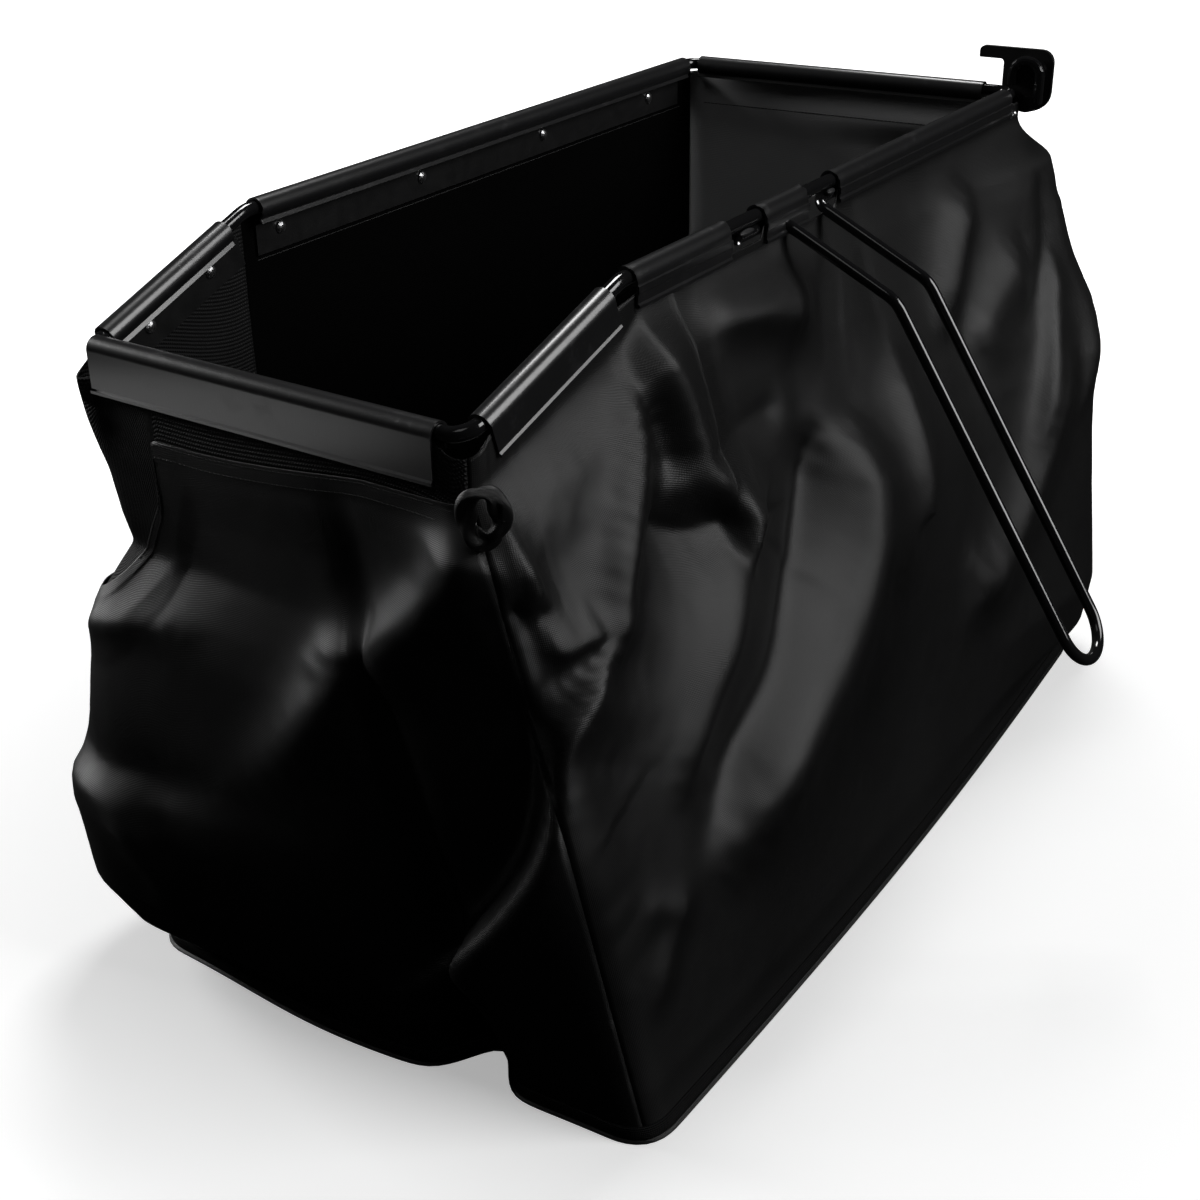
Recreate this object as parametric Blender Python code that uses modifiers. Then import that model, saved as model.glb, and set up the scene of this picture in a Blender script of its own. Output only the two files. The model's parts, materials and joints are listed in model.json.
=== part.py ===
"""Grass catcher: a soft bag clipped to a bent rod frame, with a side handle and a hanger bracket.

Metres. +Z is up, +Y runs to the rear of the bag and +X to the side that carries the handle.
The origin is the middle of the flat base, which stands on the floor.
"""

import math

import bmesh
import bpy
import numpy as np
from mathutils import Matrix, Vector

PRODUCT = "grass_catcher"

# Corners of the frame, counted round the mouth; a side has the number of its first corner
FRONT_LEFT, FRONT_RIGHT, RIGHT_BEND, REAR_RIGHT, REAR_LEFT, LEFT_BEND = range(6)

# Clearance that any two touching pieces keep
FIT = 0.0003

# Frame: one round rod bent into a loop, its front section bent down
ROD_DIAMETER = 0.0095
FRAME_HEIGHT = 0.484
FRAME_CENTRE_X = -0.053
FRONT_WIDTH = 0.285
BEND_WIDTH = 0.296
REAR_WIDTH = 0.304
BEND_Y = -0.221
REAR_Y = 0.385
FRONT_REACH = 0.1545
FRONT_DROP = math.radians(18)
BEND_SKEW = 0.006
REAR_SKEW = 0.004
CORNER_RADIUS = 0.014
BEND_RADIUS = 0.035
ARC_STEP = math.radians(18)

# Handle: a long rod loop welded under the right side of the frame
HANDLE_DIAMETER = 0.008
HANDLE_Y = -0.006
HANDLE_SPACING = 0.0516
HANDLE_KINK_REACH = 0.086
HANDLE_KINK_DROP = 0.043
HANDLE_LENGTH = 0.274
HANDLE_SLOPE = math.radians(57.5)
HANDLE_FOOT = 0.058
HANDLE_FOOT_RADIUS = 0.013
HANDLE_KINK_RADIUS = 0.026
WELD_LENGTH = 0.018
WELD_RADIUS = 0.0022

# Clips: an extruded channel over the rod with a skirt that holds the cloth
CLIP_BORE = 0.0132
CLIP_WALL = 0.0014
CLIP_WRAP = math.radians(232)
CLIP_LIP = 0.0025
SKIRT_DEPTH = 0.028
SIDE_SKIRT_DEPTH = 0.0175
SKIRT_BEAD = 0.0012
SKIRT_BEAD_HEIGHT = 0.003
RIDGE = 0.0008
RIDGE_TOP = 0.0045
GROOVE_DROP = 0.0085
NOTCHES = ((-0.1075, -0.064), (-0.003, 0.0425))
CLIP_ARC_STEPS = 12

# Bag: walls hang from the clips to the base seam
CLOTH = 0.0012
SEAM_GAP = 0.0006
HEM_TOP = 0.006
HEM_BOTTOM = 0.0315
SIDE_HEM_BOTTOM = 0.0195
HEM_CORNERS = (0.014, 0.018, 0.020, 0.012, 0.016, 0.012)
HEM_DIPS = (0.014, 0.015, 0.003, 0.004, 0.002, 0.002)
BASE_THICKNESS = 0.0015
BASE_LEFT = -0.199
BASE_RIGHT = 0.202
BASE_FRONT = -0.376
BASE_REAR = 0.376
BASE_SIDE_SWELL = 0.009
BASE_FRONT_SWELL = 0.014
BASE_FRONT_DENT = 0.036
BASE_CORNER = 0.026
BASE_MARGIN = 0.0042
BINDING_HEIGHT = 0.009
BINDING_WALL = 0.001
HEM_LAP = 0.004
TUCK = 0.022
LAP_DROP = 0.016
LAP_DROP_WIDTH = 0.210
LAP_STEP = 0.112
LAP_STEP_WIDTH = 0.066
LAP_CORNER = 0.040
SLACK_OUT = 0.049
SLACK_REACH = 0.140
SLACK_START = 0.032
SLACK_END = 0.035
FOLD_HEIGHT = 0.014
FOLD_WIDTH = 0.030
COLUMN_PITCHES = (0.024, 0.024, 0.025, 0.036, 0.045, 0.030)
ROW_PITCH = 0.027
LEFT_ROW_PITCH = 0.050

# Strip and rivets along the inside of the left hem
STRIP_WALL = 0.0015
STRIP_TOP = 0.013
STRIP_HEIGHT = 0.021
RIVET_DIAMETER = 0.0095
RIVET_DOME = 0.0026
RIVET_SHANK = 0.004
RIVET_DROP = 0.0195
DRILL_DEPTH = 0.02
CORNER_RIVET_DIAMETER = 0.0055
CORNER_RIVETS = (0.0222, 0.0150)
CORNER_RIVET_DROP = 0.0145

# Bracket: a flat hanger plate with a bent rod eye in front of it
PLATE_THICKNESS = 0.0045
PLATE_LEFT = -0.0135
PLATE_RIGHT = 0.0285
PLATE_BOTTOM = -0.017
PLATE_TOP = 0.0345
ARM_REACH = 0.0215
ARM_HEIGHT = 0.0095
PLATE_CORNER = 0.0105
PLATE_HEEL = 0.016
PLATE_NOTCH = 0.003
ARM_TIP_RADIUS = 0.0045
EYE_DIAMETER = 0.0085
EYE_RADIUS = 0.0115
EYE_CENTRE = 0.0085
EYE_HEIGHT = 0.014
EYE_LEG = 0.0075
HANGER_WELD = 0.0024

# Loose fold of cloth at the front right corner
LOOP_WIDTH = 0.017
LOOP_LENGTH = 0.036
LOOP_DEPTH = 0.013
LOOP_DROP = 0.037
LOOP_STAND = (0.0107, -0.0170, 0.0)

HANDLE_CLIPS = ("clip_right_2", "clip_right_3")
SLOT_SHALLOW = 0.0138
SLOT_DEEP = 0.0175

ROD_RADIUS = ROD_DIAMETER / 2
HANDLE_RADIUS = HANDLE_DIAMETER / 2
CLIP_RADIUS = CLIP_BORE / 2 + CLIP_WALL
CLIP_CENTRE_DROP = CLIP_BORE / 2 - ROD_RADIUS - FIT
CLOTH_OUT = CLIP_RADIUS - CLIP_WALL - FIT - CLOTH
HOLDS = (HEM_BOTTOM, HEM_BOTTOM, SIDE_HEM_BOTTOM, HEM_BOTTOM, HEM_BOTTOM, HEM_BOTTOM)
WALL_BOTTOM = BASE_THICKNESS + FIT
BODY_BOTTOM = WALL_BOTTOM + BINDING_HEIGHT
BAG_SPACE = np.array((BASE_RIGHT, BASE_REAR, FRAME_HEIGHT))


# Vectors and smooth steps


def unit(vector):
    """The vector at length one."""
    return vector / np.linalg.norm(vector)


def smooth(value, start, end):
    """Rises from 0 at start to 1 at end along a smoothstep."""
    t = np.clip((value - start) / (end - start), 0.0, 1.0)
    return t * t * (3.0 - 2.0 * t)


def rounded_route(points, radii, closed):
    """Joins points by straight lines, with an arc of the given radius in place of each bend."""
    points = [np.asarray(point, float) for point in points]
    count = len(points)
    route = []
    for index, (point, radius) in enumerate(zip(points, radii)):
        at_end = index in (0, count - 1) and not closed
        if at_end or radius == 0.0:
            route.append(point)
            continue
        come = unit(point - points[index - 1])
        go = unit(points[(index + 1) % count] - point)
        turn = math.acos(float(np.clip(come @ go, -1.0, 1.0)))
        inward = unit(go - come * (come @ go))
        start = point - come * radius * math.tan(turn / 2)
        steps = max(2, math.ceil(turn / ARC_STEP))
        for step in range(steps + 1):
            angle = turn * step / steps
            route.append(start + come * radius * math.sin(angle)
                         + inward * radius * (1.0 - math.cos(angle)))
    return route


# Blender objects


def clear_scene():
    """Removes every object that the file opened with."""
    for item in list(bpy.data.objects):
        bpy.data.objects.remove(item, do_unlink=True)


def new_collection(name):
    """A collection linked to the scene."""
    collection = bpy.data.collections.new(name)
    bpy.context.scene.collection.children.link(collection)
    return collection


def material(name, colour, roughness, metallic=0.0):
    """A plain Principled material."""
    made = bpy.data.materials.new(name)
    made.use_nodes = True
    shader = made.node_tree.nodes["Principled BSDF"]
    shader.inputs["Base Color"].default_value = (*colour, 1.0)
    shader.inputs["Roughness"].default_value = roughness
    shader.inputs["Metallic"].default_value = metallic
    return made


def place(name, data, collection, finish):
    """An object of the given data in the collection, with one material."""
    made = bpy.data.objects.new(name, data)
    made.data.materials.append(finish)
    collection.objects.link(made)
    return made


def rod(name, route, diameter, closed, collection, finish, resolution=5):
    """A round rod bent along the route."""
    curve = bpy.data.curves.new(name, "CURVE")
    curve.dimensions = "3D"
    curve.bevel_depth = diameter / 2
    curve.bevel_resolution = resolution
    curve.use_fill_caps = not closed
    spline = curve.splines.new("POLY")
    spline.points.add(len(route) - 1)
    for slot, point in zip(spline.points, route):
        slot.co = (*point, 1.0)
    spline.use_cyclic_u = closed
    spline.use_smooth = True
    return place(name, curve, collection, finish)


def sheet_mesh(name, grid, closed=False):
    """An open surface through a grid of points, rows along the first axis."""
    rows, columns = grid.shape[:2]
    across = columns if closed else columns - 1
    faces = []
    for i in range(rows - 1):
        for j in range(across):
            k = (j + 1) % columns
            faces.append((i * columns + j, (i + 1) * columns + j,
                          (i + 1) * columns + k, i * columns + k))
    mesh = bpy.data.meshes.new(name)
    mesh.from_pydata([tuple(point) for point in grid.reshape(-1, 3)], [], faces)
    mesh.update()
    return mesh


def thickened(name, mesh, wall, outward, collection, finish):
    """The surface given a wall by Solidify, to its outer or its inner side."""
    made = place(name, mesh, collection, finish)
    solidify = made.modifiers.new("Wall", "SOLIDIFY")
    solidify.thickness = wall
    solidify.offset = 1.0 if outward else -1.0
    mesh.shade_smooth()
    return made


def flat_piece(name, outline, thickness, collection, finish):
    """A flat outline in X and Y with a thickness along Z, centred on its own plane."""
    curve = bpy.data.curves.new(name, "CURVE")
    curve.dimensions = "2D"
    curve.fill_mode = "BOTH"
    curve.extrude = thickness / 2
    spline = curve.splines.new("POLY")
    spline.points.add(len(outline) - 1)
    for slot, point in zip(spline.points, outline):
        slot.co = (point[0], point[1], 0.0, 1.0)
    spline.use_cyclic_u = True
    return place(name, curve, collection, finish)


def bead(name, start, end, radius, collection, finish):
    """A weld bead: an ellipsoid drawn out along the joint between two points."""
    shell = bmesh.new()
    bmesh.ops.create_uvsphere(shell, u_segments=10, v_segments=8, radius=1.0)
    along = Vector(end - start)
    frame = along.to_track_quat("Z", "X").to_matrix()
    size = Matrix.Diagonal((radius, radius, along.length / 2))
    bmesh.ops.transform(shell, matrix=(frame @ size).to_4x4(), verts=shell.verts)
    mesh = bpy.data.meshes.new(name)
    shell.to_mesh(mesh)
    shell.free()
    mesh.shade_smooth()
    made = place(name, mesh, collection, finish)
    made.location = (start + end) / 2
    return made


def turned(name, profile, steps, collection, finish):
    """A turned piece: a profile in X and Z, from the axis at the top down to the axis, on Screw."""
    mesh = bpy.data.meshes.new(name)
    points = [(x, 0.0, z) for x, z in profile]
    edges = [(k, k + 1) for k in range(len(profile) - 1)]
    mesh.from_pydata(points, edges, [])
    made = place(name, mesh, collection, finish)
    screw = made.modifiers.new("Turn", "SCREW")
    screw.steps = steps
    screw.render_steps = steps
    screw.use_merge_vertices = True
    screw.merge_threshold = 0.00001
    return made


def as_cutter(made, cutters):
    """Puts an object among the cutters, out of the model."""
    cutters.objects.link(made)
    made.hide_render = True
    made.display_type = "WIRE"
    return made


def box_cutter(name, low, high, cutters):
    """A box cutter between two corners."""
    shell = bmesh.new()
    bmesh.ops.create_cube(shell, size=1.0)
    mesh = bpy.data.meshes.new(name)
    shell.to_mesh(mesh)
    shell.free()
    made = as_cutter(bpy.data.objects.new(name, mesh), cutters)
    made.location = (np.array(low) + np.array(high)) / 2
    made.scale = np.array(high) - np.array(low)
    return made


def drilled(piece, cutters):
    """Cuts the holes out of a piece."""
    for cutter in cutters:
        cut = piece.modifiers.new(f"Cut {cutter.name}", "BOOLEAN")
        cut.operation = "DIFFERENCE"
        cut.object = cutter


# Frame and handle


def frame_corners():
    """Centre-line corners of the frame rod, round the mouth from the front left."""
    half = {"front": FRONT_WIDTH / 2, "bend": BEND_WIDTH / 2, "rear": REAR_WIDTH / 2}
    dip = FRONT_REACH * math.sin(FRONT_DROP)
    front_y = BEND_Y - FRONT_REACH * math.cos(FRONT_DROP)
    return np.array([
        (FRAME_CENTRE_X - half["front"], front_y + BEND_SKEW, FRAME_HEIGHT - dip),
        (FRAME_CENTRE_X + half["front"], front_y - BEND_SKEW, FRAME_HEIGHT - dip),
        (FRAME_CENTRE_X + half["bend"], BEND_Y - BEND_SKEW, FRAME_HEIGHT),
        (FRAME_CENTRE_X + half["rear"] + BEND_SKEW / 2, REAR_Y + REAR_SKEW, FRAME_HEIGHT),
        (FRAME_CENTRE_X - half["rear"] + BEND_SKEW / 2, REAR_Y - REAR_SKEW, FRAME_HEIGHT),
        (FRAME_CENTRE_X - half["bend"], BEND_Y + BEND_SKEW, FRAME_HEIGHT),
    ])


def side_of(start):
    """Start, unit direction, outward, up and length of the frame side that begins at a corner."""
    corners = frame_corners()
    begin = corners[start]
    end = corners[(start + 1) % 6]
    along = unit(end - begin)
    outward = unit(np.cross(along, (0.0, 0.0, 1.0)))
    up = np.cross(outward, along)
    return begin, along, outward, up, float(np.linalg.norm(end - begin))


def right_rod_at(y):
    """Point of the straight right-hand rod at this y."""
    begin, along, _, _, _ = side_of(RIGHT_BEND)
    return begin + along * (y - begin[1]) / along[1]


def frame_route():
    """Centre line of the frame rod."""
    radii = [CORNER_RADIUS, CORNER_RADIUS, BEND_RADIUS, CORNER_RADIUS, CORNER_RADIUS, BEND_RADIUS]
    return rounded_route(frame_corners(), radii, closed=True)


def build_frame(collection, finish):
    rod("frame_rod", frame_route(), ROD_DIAMETER, True, collection, finish)


def rod_clearance(name, route, diameter, closed, cutters, finish):
    """A rod's own shape a little thicker, made a mesh, which notches what the rod passes."""
    curve = rod(name, route, diameter, closed, cutters, finish)
    graph = bpy.context.evaluated_depsgraph_get()
    mesh = bpy.data.meshes.new_from_object(curve.evaluated_get(graph))
    bpy.data.objects.remove(curve, do_unlink=True)
    shell = bmesh.new()
    shell.from_mesh(mesh)
    bmesh.ops.remove_doubles(shell, verts=shell.verts, dist=0.00001)
    shell.to_mesh(mesh)
    shell.free()
    return as_cutter(bpy.data.objects.new(name, mesh), cutters)


def handle_feet():
    """Where the two legs leave their feet, right under the frame rod."""
    drop = np.array((0.0, 0.0, ROD_RADIUS + HANDLE_RADIUS + FIT))
    front = right_rod_at(HANDLE_Y - HANDLE_SPACING / 2) - drop
    rear = right_rod_at(HANDLE_Y + HANDLE_SPACING / 2) - drop
    return front, rear


def handle_route():
    """Centre line of the handle rod, from one foot round the loop to the other."""
    front, rear = handle_feet()
    along = side_of(RIGHT_BEND)[1]
    kink = np.array((HANDLE_KINK_REACH, 0.0, -HANDLE_KINK_DROP))
    reach = np.array((math.cos(HANDLE_SLOPE), 0.0, -math.sin(HANDLE_SLOPE))) * HANDLE_LENGTH
    return rounded_route(
        [front - along * HANDLE_FOOT, front, front + kink, front + kink + reach,
         rear + kink + reach, rear + kink, rear, rear + along * HANDLE_FOOT],
        [0.0, HANDLE_FOOT_RADIUS, HANDLE_KINK_RADIUS, HANDLE_SPACING / 2 - FIT,
         HANDLE_SPACING / 2 - FIT, HANDLE_KINK_RADIUS, HANDLE_FOOT_RADIUS, 0.0],
        closed=False)


def build_handle(collection, finish):
    rod("handle_rod", handle_route(), HANDLE_DIAMETER, False, collection, finish)


def build_handle_welds(collection, finish):
    """A bead in the outer groove between the frame rod and each foot of the handle."""
    front, rear = handle_feet()
    along = side_of(RIGHT_BEND)[1]
    spread = math.sqrt((HANDLE_RADIUS + WELD_RADIUS + FIT) ** 2 - HANDLE_RADIUS ** 2) + FIT
    groove = np.array((spread, 0.0, HANDLE_RADIUS + FIT / 2))
    for name, foot, spot_y, length in (
            ("handle_weld_front", front, (NOTCHES[0][0] + NOTCHES[0][1]) / 2, WELD_LENGTH),
            ("handle_weld_rear", rear, NOTCHES[1][1] - WELD_LENGTH / 2, WELD_LENGTH * 0.6)):
        middle = foot + along * (spot_y - foot[1]) / along[1] + groove
        half = along * length / 2
        bead(name, middle - half, middle + half, WELD_RADIUS, collection, finish)


# Clips


def clip_profile(depth, grooved):
    """Outer line of a clip in outward and up, from its inner lip over the rod and down the skirt."""
    angles = np.linspace(CLIP_WRAP, 0.0, CLIP_ARC_STEPS + 1)
    profile = [(CLIP_RADIUS * math.cos(a), CLIP_RADIUS * math.sin(a) - CLIP_CENTRE_DROP)
               for a in angles]
    lip = (profile[0][0] - CLIP_LIP * 0.45, profile[0][1] - CLIP_LIP)
    profile.insert(0, lip)
    if grooved:
        profile += [(CLIP_RADIUS + RIDGE, -RIDGE_TOP), (CLIP_RADIUS + RIDGE, -GROOVE_DROP),
                    (CLIP_RADIUS, -GROOVE_DROP - RIDGE)]
    bead = depth - SKIRT_BEAD_HEIGHT
    profile += [(CLIP_RADIUS, -bead), (CLIP_RADIUS + SKIRT_BEAD, -bead - SKIRT_BEAD),
                (CLIP_RADIUS + SKIRT_BEAD, -depth)]
    return profile


def build_clip(name, start, begin, end, depth, grooved, clearance, collection, finish):
    """A clip along one frame side, from begin to end measured from the side's first corner."""
    corner, along, outward, up, _ = side_of(start)
    profile = clip_profile(depth, grooved)
    grid = np.array([
        [corner + along * reach + outward * o + up * z for reach in (begin, end)]
        for o, z in profile
    ])
    clip = thickened(name, sheet_mesh(name, grid), CLIP_WALL, False, collection, finish)
    drilled(clip, clearance)
    return clip


def clip_runs():
    """Name, first corner, begin, end, skirt depth and groove of every clip."""
    length = [side_of(start)[4] for start in range(6)]
    bend_y = frame_corners()[RIGHT_BEND][1]
    return [
        ("clip_front", FRONT_LEFT, 0.0015, length[0] - 0.0175, SKIRT_DEPTH, False),
        ("clip_right_front", FRONT_RIGHT, 0.0135, length[1] - 0.0175, SKIRT_DEPTH * 0.86, False),
        ("clip_right_1", RIGHT_BEND, 0.006, NOTCHES[0][0] - bend_y, SIDE_SKIRT_DEPTH, True),
        ("clip_right_2", RIGHT_BEND, NOTCHES[0][1] - bend_y, NOTCHES[1][0] - bend_y,
         SIDE_SKIRT_DEPTH, True),
        ("clip_right_3", RIGHT_BEND, NOTCHES[1][1] - bend_y, length[2] - 0.0255,
         SIDE_SKIRT_DEPTH * 0.8, True),
        ("clip_rear", REAR_RIGHT, 0.0265, length[3] - 0.011, SKIRT_DEPTH, False),
        ("clip_left", REAR_LEFT, 0.014, length[4] - 0.009, SKIRT_DEPTH, False),
        ("clip_left_front", LEFT_BEND, 0.024, length[5] - 0.0095, SKIRT_DEPTH, False),
    ]


# Bag walls


def bag_rings():
    """Matching rings of points round the hem and round the base, with each corner's index.

    Every side is cut into columns, and each corner is a parabola between the side ends, so the
    two rings have the same columns. Each column also has its dip at a corner, and the depth
    to which its clip holds it.
    """
    corners = frame_corners()
    out = CLOTH_OUT
    shift = np.array([(-out, -out, 0), (out, -out, 0), (out, 0, 0),
                      (out, out, 0), (-out, out, 0), (-out, 0, 0)])
    top = corners + shift
    side_y = BEND_Y + (BASE_FRONT - top[FRONT_RIGHT][1]) * 0.5
    base = np.array([
        (BASE_LEFT, BASE_FRONT, 0), (BASE_RIGHT, BASE_FRONT, 0), (BASE_RIGHT, side_y, 0),
        (BASE_RIGHT, BASE_REAR, 0), (BASE_LEFT, BASE_REAR, 0), (BASE_LEFT, side_y, 0)])
    lengths = [side_of(start)[4] for start in range(6)]
    upper, lower, dips, holds, middle = [], [], [], [], []
    for i in range(6):
        # the corner itself, from the end of the side before to the start of this side
        before = (i - 1) % 6
        after = (i + 1) % 6
        for ring, points, cut in (
                (upper, top, HEM_CORNERS[i]),
                (lower, base, BASE_CORNER)):
            start = points[i] - unit(points[i] - points[before]) * cut
            end = points[i] + unit(points[after] - points[i]) * cut
            for t in (0.25, 0.5, 0.75):
                ring.append((1 - t) ** 2 * start + 2 * t * (1 - t) * points[i] + t * t * end)
        dips += [HEM_DIPS[i] * 0.8, HEM_DIPS[i], HEM_DIPS[i] * 0.8]
        holds += [HOLDS[before], (HOLDS[before] + HOLDS[i]) / 2, HOLDS[i]]
        middle.append(len(upper) - 2)
        count = round(lengths[i] / COLUMN_PITCHES[i])
        for ring, points, cut_a, cut_b in (
                (upper, top, HEM_CORNERS[i], HEM_CORNERS[after]),
                (lower, base, BASE_CORNER, BASE_CORNER)):
            way = unit(points[after] - points[i])
            start = points[i] + way * cut_a
            end = points[after] - way * cut_b
            for t in np.linspace(0.0, 1.0, count + 1):
                ring.append(start + (end - start) * t)
        dips += [0.0] * (count + 1)
        holds += [HOLDS[i]] * (count + 1)
    holds = np.array(holds)
    holds[middle[REAR_RIGHT] + 1:middle[REAR_RIGHT] + 3] = HOLDS[RIGHT_BEND]
    return np.array(upper), shaped_base(np.array(lower)), np.array(dips), holds, middle


def shaped_base(ring):
    """The base ring with its sides swelled out and the slack dent in its front edge."""
    ring = ring.copy()
    x, y = ring[:, 0].copy(), ring[:, 1].copy()
    along = (y - BASE_FRONT) / (BASE_REAR - BASE_FRONT)
    across = (x - BASE_LEFT) / (BASE_RIGHT - BASE_LEFT)
    on_right = smooth(x, BASE_RIGHT - BASE_CORNER, BASE_RIGHT)
    on_front = 1.0 - smooth(y, BASE_FRONT, BASE_FRONT + BASE_CORNER)
    ring[:, 0] += on_right * BASE_SIDE_SWELL * np.sin(math.pi * along)
    swell = BASE_FRONT_SWELL * np.exp(-((across - 0.42) / 0.28) ** 2)
    dent = BASE_FRONT_DENT * np.exp(-((across - 0.685) / 0.052) ** 2)
    ring[:, 1] += on_front * (dent - swell)
    return ring


def ring_normals(upper, lower):
    """Outward horizontal direction of each column."""
    total = np.zeros_like(upper)
    for ring in (upper, lower):
        along = np.roll(ring, -1, axis=0) - np.roll(ring, 1, axis=0)
        total += np.stack([along[:, 1], -along[:, 0], 0 * along[:, 0]], axis=1)
    return total / np.linalg.norm(total, axis=1, keepdims=True)


# Where the cloth stands out at two corners: share of the frame's height, share of SLACK_OUT
FRONT_LEFT_SLACK = (
    (0.000, 0.00), (0.064, 0.43), (0.149, 0.88), (0.267, 1.00), (0.306, 0.94),
    (0.343, 0.78), (0.419, 0.61), (0.523, 0.41), (0.568, 0.20), (0.632, -0.22),
    (0.678, -0.12), (0.762, 0.00), (0.847, 0.04))
REAR_RIGHT_SLACK = (
    (0.000, 0.00), (0.062, 0.41), (0.153, 0.69), (0.306, 0.78), (0.455, 0.86),
    (0.583, 0.88), (0.653, 0.82), (0.725, 0.67), (0.804, 0.59), (0.864, 0.57),
    (0.907, 0.49), (0.965, 0.16))
SLACK_CORNERS = ((FRONT_LEFT, FRONT_LEFT_SLACK, 0.89), (REAR_RIGHT, REAR_RIGHT_SLACK, 1.0))

# Bulges of the slack cloth elsewhere: centre and reach as shares of BAG_SPACE, and the height
# as a share of SLACK_OUT
BULGES = (
    ((-1.00, 0.05, 0.31), (0.50, 0.69, 0.25), 0.41),
    ((0.10, -1.01, 0.35), (0.59, 0.27, 0.23), 0.20),
    ((-0.40, 1.01, 0.41), (0.59, 0.27, 0.29), 0.24),
    ((0.79, 0.16, 0.52), (0.50, 0.53, 0.27), 0.33),
    ((0.82, -0.53, 0.37), (0.50, 0.37, 0.23), 0.29),
)

# Folds of the front and right walls: height as a share of FOLD_HEIGHT, half width as a share
# of FOLD_WIDTH, and the points along the fold as shares of BAG_SPACE
FOLDS = (
    (1.00, 1.00, ((0.371, -1.011, 0.810), (0.213, -1.011, 0.688),
                  (-0.010, -1.011, 0.583), (-0.391, -1.011, 0.413),
                  (-0.614, -1.011, 0.264))),
    (-0.71, 1.07, ((0.396, -1.011, 0.682), (0.094, -1.011, 0.455),
                   (-0.282, -1.011, 0.215))),
    (0.86, 1.00, ((0.871, -0.904, 0.614), (0.743, -1.011, 0.465),
                  (0.465, -1.011, 0.273), (0.223, -1.011, 0.153),
                  (0.050, -1.011, 0.083))),
    (1.00, 0.80, ((0.505, -0.601, 0.909), (0.540, -0.548, 0.868),
                  (0.614, -0.484, 0.744))),
    (-0.86, 0.80, ((0.554, -0.617, 0.847), (0.604, -0.545, 0.754),
                   (0.644, -0.479, 0.682))),
    (1.00, 1.13, ((0.604, 0.138, 0.781), (0.673, 0.035, 0.659),
                  (0.743, -0.093, 0.529), (0.802, -0.287, 0.426),
                  (0.832, -0.545, 0.357), (0.871, -0.718, 0.285))),
    (-1.00, 0.80, ((0.594, -0.258, 0.787), (0.663, -0.279, 0.667),
                   (0.713, -0.346, 0.574), (0.772, -0.527, 0.465),
                   (0.812, -0.731, 0.388))),
    (-0.86, 0.73, ((0.777, 0.176, 0.481), (0.832, -0.013, 0.382),
                   (0.856, -0.215, 0.324), (0.891, -0.410, 0.260))),
    (1.00, 0.67, ((0.693, 0.971, 0.657), (0.792, 0.824, 0.477),
                  (0.871, 0.574, 0.333), (0.916, 0.309, 0.242))),
)


def fold_height(points, fold):
    """A fold is a ridge whose height dies away by a bell curve across it."""
    height, width, route = fold
    route = np.array(route) * BAG_SPACE
    nearest = np.full(points.shape[:-1], np.inf)
    for begin, end in zip(route, route[1:]):
        way = end - begin
        share = np.clip(((points - begin) @ way) / (way @ way), 0.0, 1.0)
        gap = np.linalg.norm(points - (begin + share[..., None] * way), axis=-1)
        nearest = np.minimum(nearest, gap)
    return height * FOLD_HEIGHT * np.exp(-(nearest / (width * FOLD_WIDTH)) ** 2)


def bulge_height(points, bulge):
    """A bulge is a bell whose reach differs along x, y and z."""
    centre, reach, height = bulge
    apart = (points / BAG_SPACE - centre) / reach
    return height * SLACK_OUT * np.exp(-(apart ** 2).sum(axis=-1))


def plain_points(columns, heights, rings):
    """Points of a taut wall: straight down behind the clip, then straight to the base ring."""
    upper, lower, _, holds, _ = rings
    top, foot = upper[columns], lower[columns]
    z_top = top[..., 2] - holds[columns]
    share = np.clip((z_top - heights) / (z_top - WALL_BOTTOM), 0.0, 1.0)
    flat = top + (foot - top) * share[..., None]
    flat[..., 2] = heights
    return flat


def wall_points(columns, heights, rings, offset=0.0):
    """Inner face of the wall at the given columns and heights, with its slack in it.

    The slack moves a taut wall outward, and dies away at the clip and at the base seam.
    """
    upper, lower, _, holds, middle = rings
    columns = np.broadcast_to(columns, heights.shape)
    flat = plain_points(columns, heights, rings)
    slack = sum(bulge_height(flat, bulge) for bulge in BULGES)
    slack = slack + sum(fold_height(flat, fold) for fold in FOLDS)
    for corner, knots, reach in SLACK_CORNERS:
        edge = plain_points(np.full(heights.shape, middle[corner]), heights, rings)
        apart = np.linalg.norm(flat[..., :2] - edge[..., :2], axis=-1)
        height, out = np.array(knots).T
        stand = np.interp(heights / FRAME_HEIGHT, height, out) * SLACK_OUT
        slack = slack + stand * np.exp(-(apart / (reach * SLACK_REACH)) ** 2)
    below = (upper[:, 2] - holds)[columns] - heights
    slack = slack * smooth(below, 0.0, SLACK_START) * smooth(heights, BODY_BOTTOM, SLACK_END)
    normals = ring_normals(upper, lower)[columns]
    return flat + normals * (slack + offset)[..., None]


def columns_between(first, last, total):
    """Column numbers from first to last round the ring."""
    count = (last - first) % total
    return [(first + k) % total for k in range(count + 1)]


def edge_gap(grid):
    """Draws the two side edges in by half a seam gap."""
    for edge, beside in ((0, 1), (-1, -2)):
        way = grid[:, beside] - grid[:, edge]
        way = way / np.linalg.norm(way, axis=1, keepdims=True)
        grid[:, edge] += way * SEAM_GAP / 2
    return grid


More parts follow.
